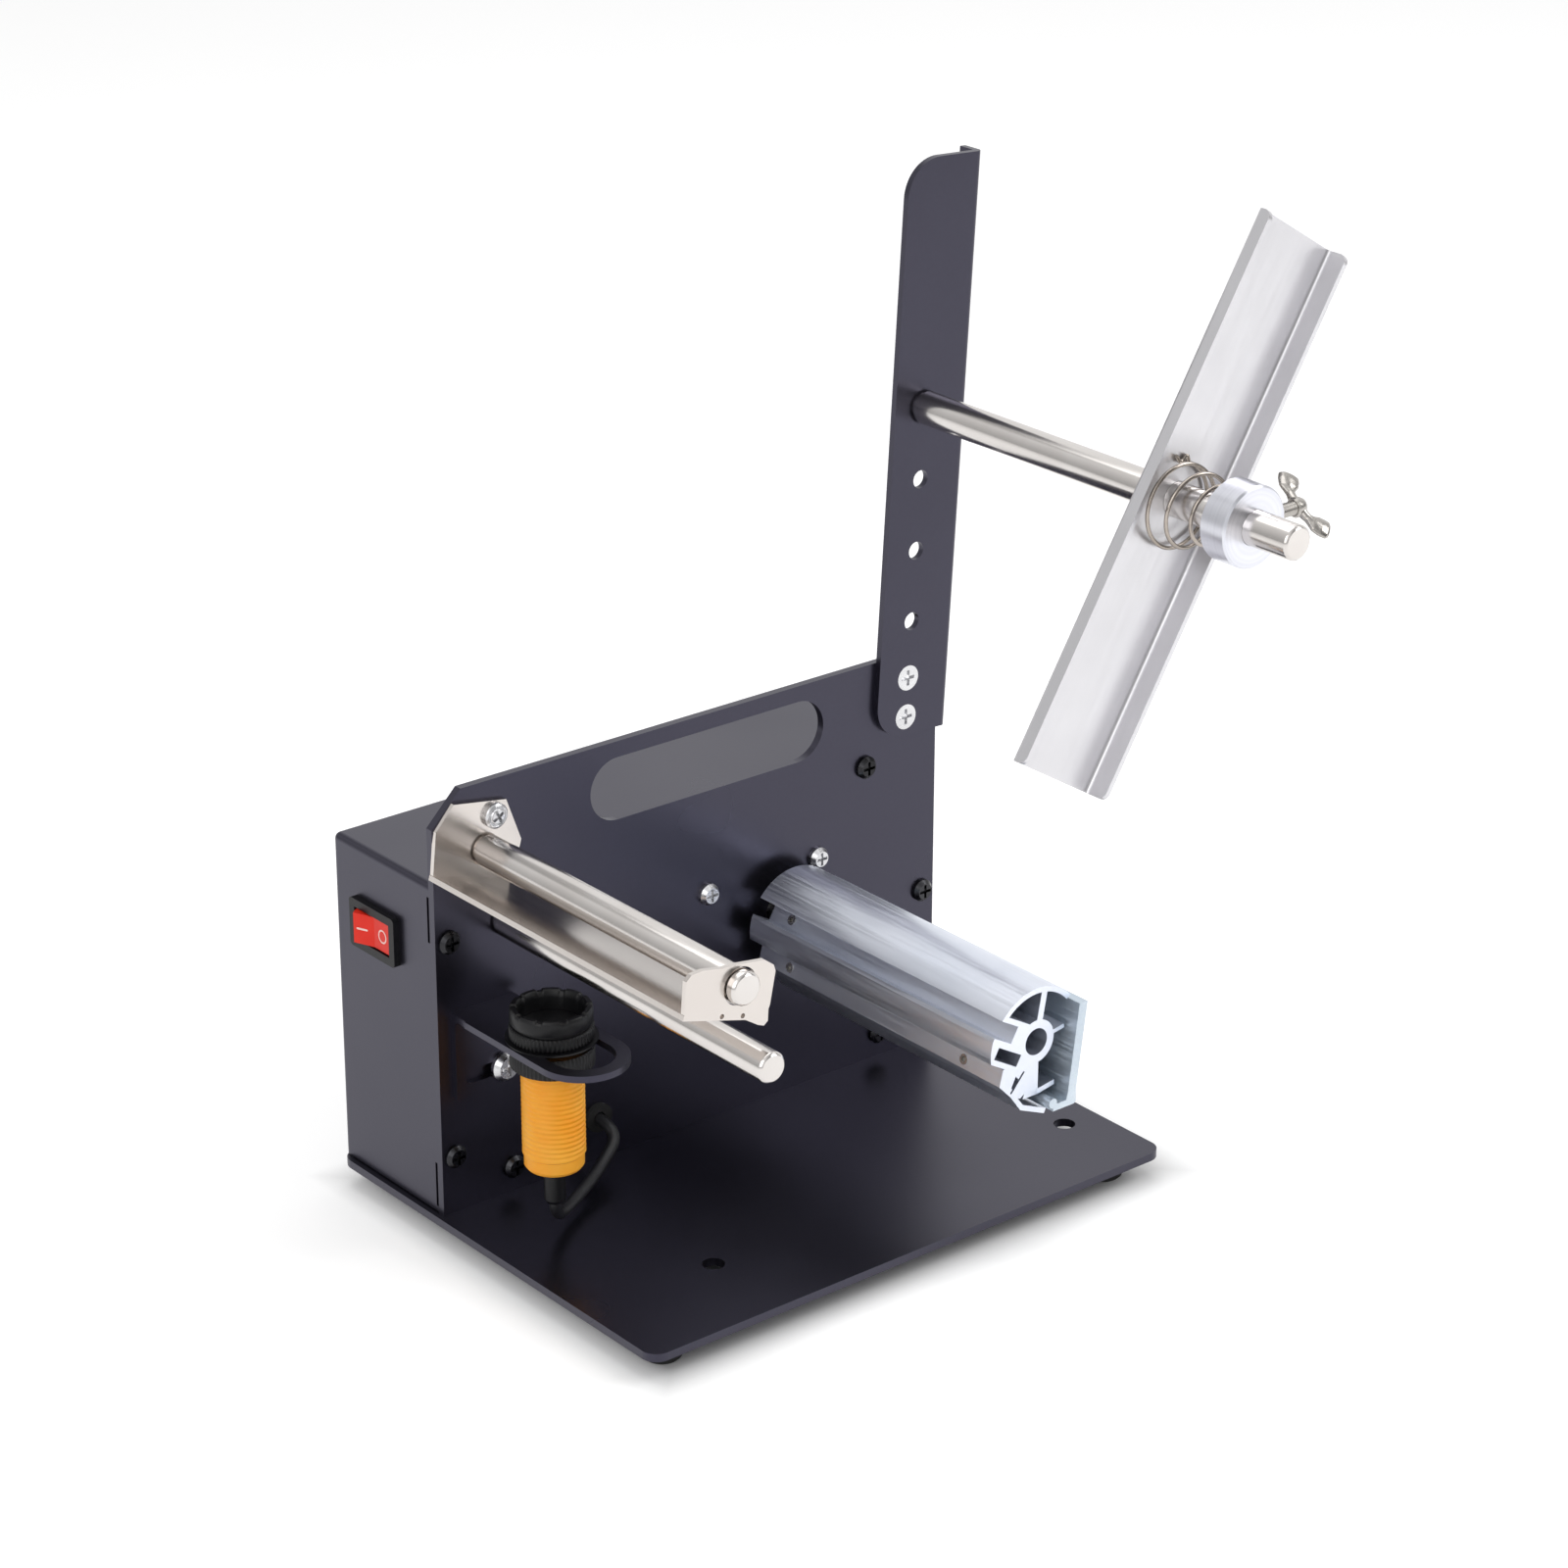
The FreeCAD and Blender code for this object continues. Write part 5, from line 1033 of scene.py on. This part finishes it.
@dataclass
class Electronics:
    """Control board behind the front plate."""

    def build(self) -> None:
        """Dress the board and what stands on it."""
        dress(["control_board"], SOLDER_MASK)
        dress(["board_components"], BLACK_ABS)


@dataclass(frozen=True)
class SoftBox:
    """A square soft box: its place and its side in metres, and its power in watts."""

    name: str
    place: tuple[float, float, float]
    size: float
    power: float

    def hang(self, target: tuple[float, float, float]) -> None:
        """Hang the lamp and turn it to a target."""
        lamp = bpy.data.lights.new(self.name, "AREA")
        lamp.shape = "SQUARE"
        lamp.size = self.size
        lamp.energy = self.power
        aim = np.array(target) - np.array(self.place)
        add_object(self.name, lamp).matrix_world = look(self.place, aim)


@dataclass(frozen=True)
class Gap:
    """A darker place in the tent: its direction, the cosines at its edge and its core, and its depth."""

    towards: tuple[float, float, float]
    edge: float
    core: float
    depth: float


@dataclass
class Studio:
    """Floor, tent, lamps and camera; lengths in metres, apart from the camera's place and lens."""

    camera_mm: tuple[float, float, float] = (-699.8, -865.9, 600.0)
    forward: tuple[float, float, float] = (0.5842, 0.7111, -0.3911)
    right: tuple[float, float, float] = (0.7732, -0.6341, 0.0020)
    lens: float = 98.03
    sensor_width: float = 36.0
    clip_end: float = 50.0
    floor_half: float = 6.0
    floor_colour: str = "e6e6e6"
    floor_glow: float = 0.42
    glow_edge: float = 0.008
    # Half sizes and middle, in metres, of the box round the base where the floor has painted shade and
    # doesn't glow
    painted_shade_half_size: tuple[float, float, float] = (0.099, 0.078, 0.0)
    painted_shade_middle: tuple[float, float, float] = (0.006, 0.0, 0.0)
    room_level: float = 0.5
    tent_level: float = 0.72
    tent_slope: tuple[float, float, float] = (0.3, 0.0, 0.36)
    gaps: tuple[Gap, ...] = (
        Gap((-0.05, 0.71, 0.70), 0.94, 0.985, -0.5), Gap((0.59, -0.70, 0.40), 0.5, 0.85, -0.8),
    )
    lamps: tuple[SoftBox, ...] = (
        SoftBox("key", (1.1, -0.9, 1.1), 0.9, 12.0), SoftBox("fill", (-1.4, -0.6, 0.9), 1.2, 8.0),
        SoftBox("top", (0.1, 0.3, 1.9), 1.4, 9.0),
    )
    target: tuple[float, float, float] = (0.0, 0.0, 0.12)

    def build(self) -> None:
        """Build the studio."""
        self.lay_floor()
        self.light_world()
        self.hang_lamps()
        self.set_camera()

    def lay_floor(self) -> None:
        """Lay a pale floor that shows white to the camera and keeps the shadow.

        It glows only outside a box round the base, set a little to the right. Inside the box it has painted
        shade, so that the floor under the base and seen through its holes looks dark.
        """
        size = self.floor_half
        corners = [(-size, -size, 0.0), (size, -size, 0.0), (-size, size, 0.0), (size, size, 0.0)]
        material = bpy.data.materials.new("studio_floor")
        material.use_nodes = True
        tree = material.node_tree
        tree.nodes.clear()
        ray = add_node(tree, "LightPath")
        shown = add_node(
            tree, "Math", {"operation": "MAXIMUM"},
            {0: ray.outputs["Is Camera Ray"], 1: ray.outputs["Is Glossy Ray"]},
        )
        place = add_node(tree, "TexCoord")
        own = add_node(
            tree, "VectorMath", {"operation": "SUBTRACT", 1: self.painted_shade_middle},
            {0: place.outputs["Object"]},
        )
        beside = add_node(tree, "VectorMath", {"operation": "ABSOLUTE"}, {0: own})
        past = add_node(tree, "VectorMath", {"operation": "SUBTRACT", 1: self.painted_shade_half_size}, {0: beside})
        sides = add_node(tree, "SeparateXYZ", {}, {"Vector": past})
        far = add_node(
            tree, "Math", {"operation": "MAXIMUM"}, {0: sides.outputs["X"], 1: sides.outputs["Y"]}
        )
        # Full glow outside the box and none inside it: painted shade under the base
        glow_outside_painted_shade = add_node(
            tree, "MapRange",
            {"From Min": -self.glow_edge, "From Max": self.glow_edge, "To Max": self.floor_glow},
            {"Value": far},
        )
        level = add_node(tree, "Math", {"operation": "MULTIPLY"}, {0: shown, 1: glow_outside_painted_shade})
        cloth = add_node(tree, "BsdfDiffuse", {"Color": linear(self.floor_colour)})
        glow = add_node(tree, "Emission", {"Color": linear("ffffff")}, {"Strength": level})
        both = add_node(tree, "AddShader", {}, {0: cloth, 1: glow})
        add_node(tree, "OutputMaterial", {}, {"Surface": both})
        mesh = bpy.data.meshes.new("studio_floor")
        mesh.from_pydata(corners, [], [(0, 1, 3, 2)])
        mesh.materials.append(material)
        floor = add_object("studio_floor", mesh)

    def light_world(self) -> None:
        """Light the room: white to the camera, and to gloss a white tent, brighter above and on the right.

        The tent is darker in two places: a gap behind and above, where its sheets part, and its open front
        to the right.
        """
        world = bpy.data.worlds.new("studio")
        bpy.context.scene.world = world
        world.use_nodes = True
        tree = world.node_tree
        tree.nodes.clear()
        ray = add_node(tree, "LightPath")
        way = add_node(tree, "TexCoord")
        slope = add_node(
            tree, "VectorMath", {"operation": "DOT_PRODUCT", 1: self.tent_slope},
            {0: way.outputs["Generated"]},
        )
        walls = add_node(
            tree, "Math", {"operation": "ADD", 1: self.tent_level}, {0: slope.outputs["Value"]}
        )
        for gap in self.gaps:
            near = add_node(
                tree, "VectorMath", {"operation": "DOT_PRODUCT", 1: gap.towards},
                {0: way.outputs["Generated"]},
            )
            shade = add_node(
                tree, "MapRange", {"From Min": gap.edge, "From Max": gap.core, "To Max": gap.depth},
                {"Value": near.outputs["Value"]},
            )
            walls = add_node(tree, "Math", {"operation": "ADD"}, {0: walls, 1: shade})
        tent = add_node(tree, "Clamp", {}, {"Value": walls})
        mirrored = add_node(
            tree, "Math", {"operation": "MAXIMUM"},
            {0: ray.outputs["Is Glossy Ray"], 1: ray.outputs["Is Transmission Ray"]},
        )
        seen = add_node(
            tree, "MapRange", {"To Min": self.room_level}, {"Value": mirrored, "To Max": tent}
        )
        strength = add_node(
            tree, "Math", {"operation": "MAXIMUM"}, {0: seen, 1: ray.outputs["Is Camera Ray"]}
        )
        sky = add_node(tree, "Background", {"Color": linear("ffffff")}, {"Strength": strength})
        add_node(tree, "OutputWorld", {}, {"Surface": sky})

    def hang_lamps(self) -> None:
        """Hang three soft boxes: a key from the right and above, a fill from the left and a top light."""
        for lamp in self.lamps:
            lamp.hang(self.target)

    def set_camera(self) -> None:
        """Set the camera where the photograph was taken."""
        forward = np.array(self.forward) / np.linalg.norm(self.forward)
        right = np.array(self.right) - forward * np.dot(self.right, forward)
        right /= np.linalg.norm(right)
        up = np.cross(right, forward)
        lens = bpy.data.cameras.new("photo_camera")
        lens.lens = self.lens
        lens.sensor_width = self.sensor_width
        lens.clip_end = self.clip_end
        camera = add_object("photo_camera", lens)
        camera.matrix_world = standing(right, up, -forward, np.array(self.camera_mm) * MM)
        bpy.context.scene.camera = camera


def standing(side: np.ndarray, up: np.ndarray, back: np.ndarray, place: np.ndarray) -> Matrix:
    """Give the matrix of a thing that stands at a place, from its three axes."""
    return Matrix([*np.column_stack([side, up, back, place]).tolist(), (0.0, 0.0, 0.0, 1.0)])


def look(place: tuple[float, float, float], aim: np.ndarray) -> Matrix:
    """Stand a lamp at a place, shining along a direction.

    Args:
        place: where it stands, in metres.
        aim: the direction it shines in, which isn't straight up or down.

    Returns:
        Its matrix.
    """
    back = -aim / np.linalg.norm(aim)
    side = np.cross((0.0, 0.0, 1.0), back)
    side = side / np.linalg.norm(side)
    up = np.cross(back, side)
    return standing(side, up, back, np.array(place))


def main() -> None:
    """Build the machine's looks in order."""
    logging.basicConfig(level=logging.INFO, format="%(message)s")
    bpy.context.scene.view_settings.view_transform = "Standard"
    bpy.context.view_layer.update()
    for part in (
        Studio(), Stand(), ReelHolder(), PeelStation(), LabelSensor(), PowerSwitch(), Winder(), Fasteners(),
        Electronics(),
    ):
        part.build()


if __name__ == "__main__":
    main()
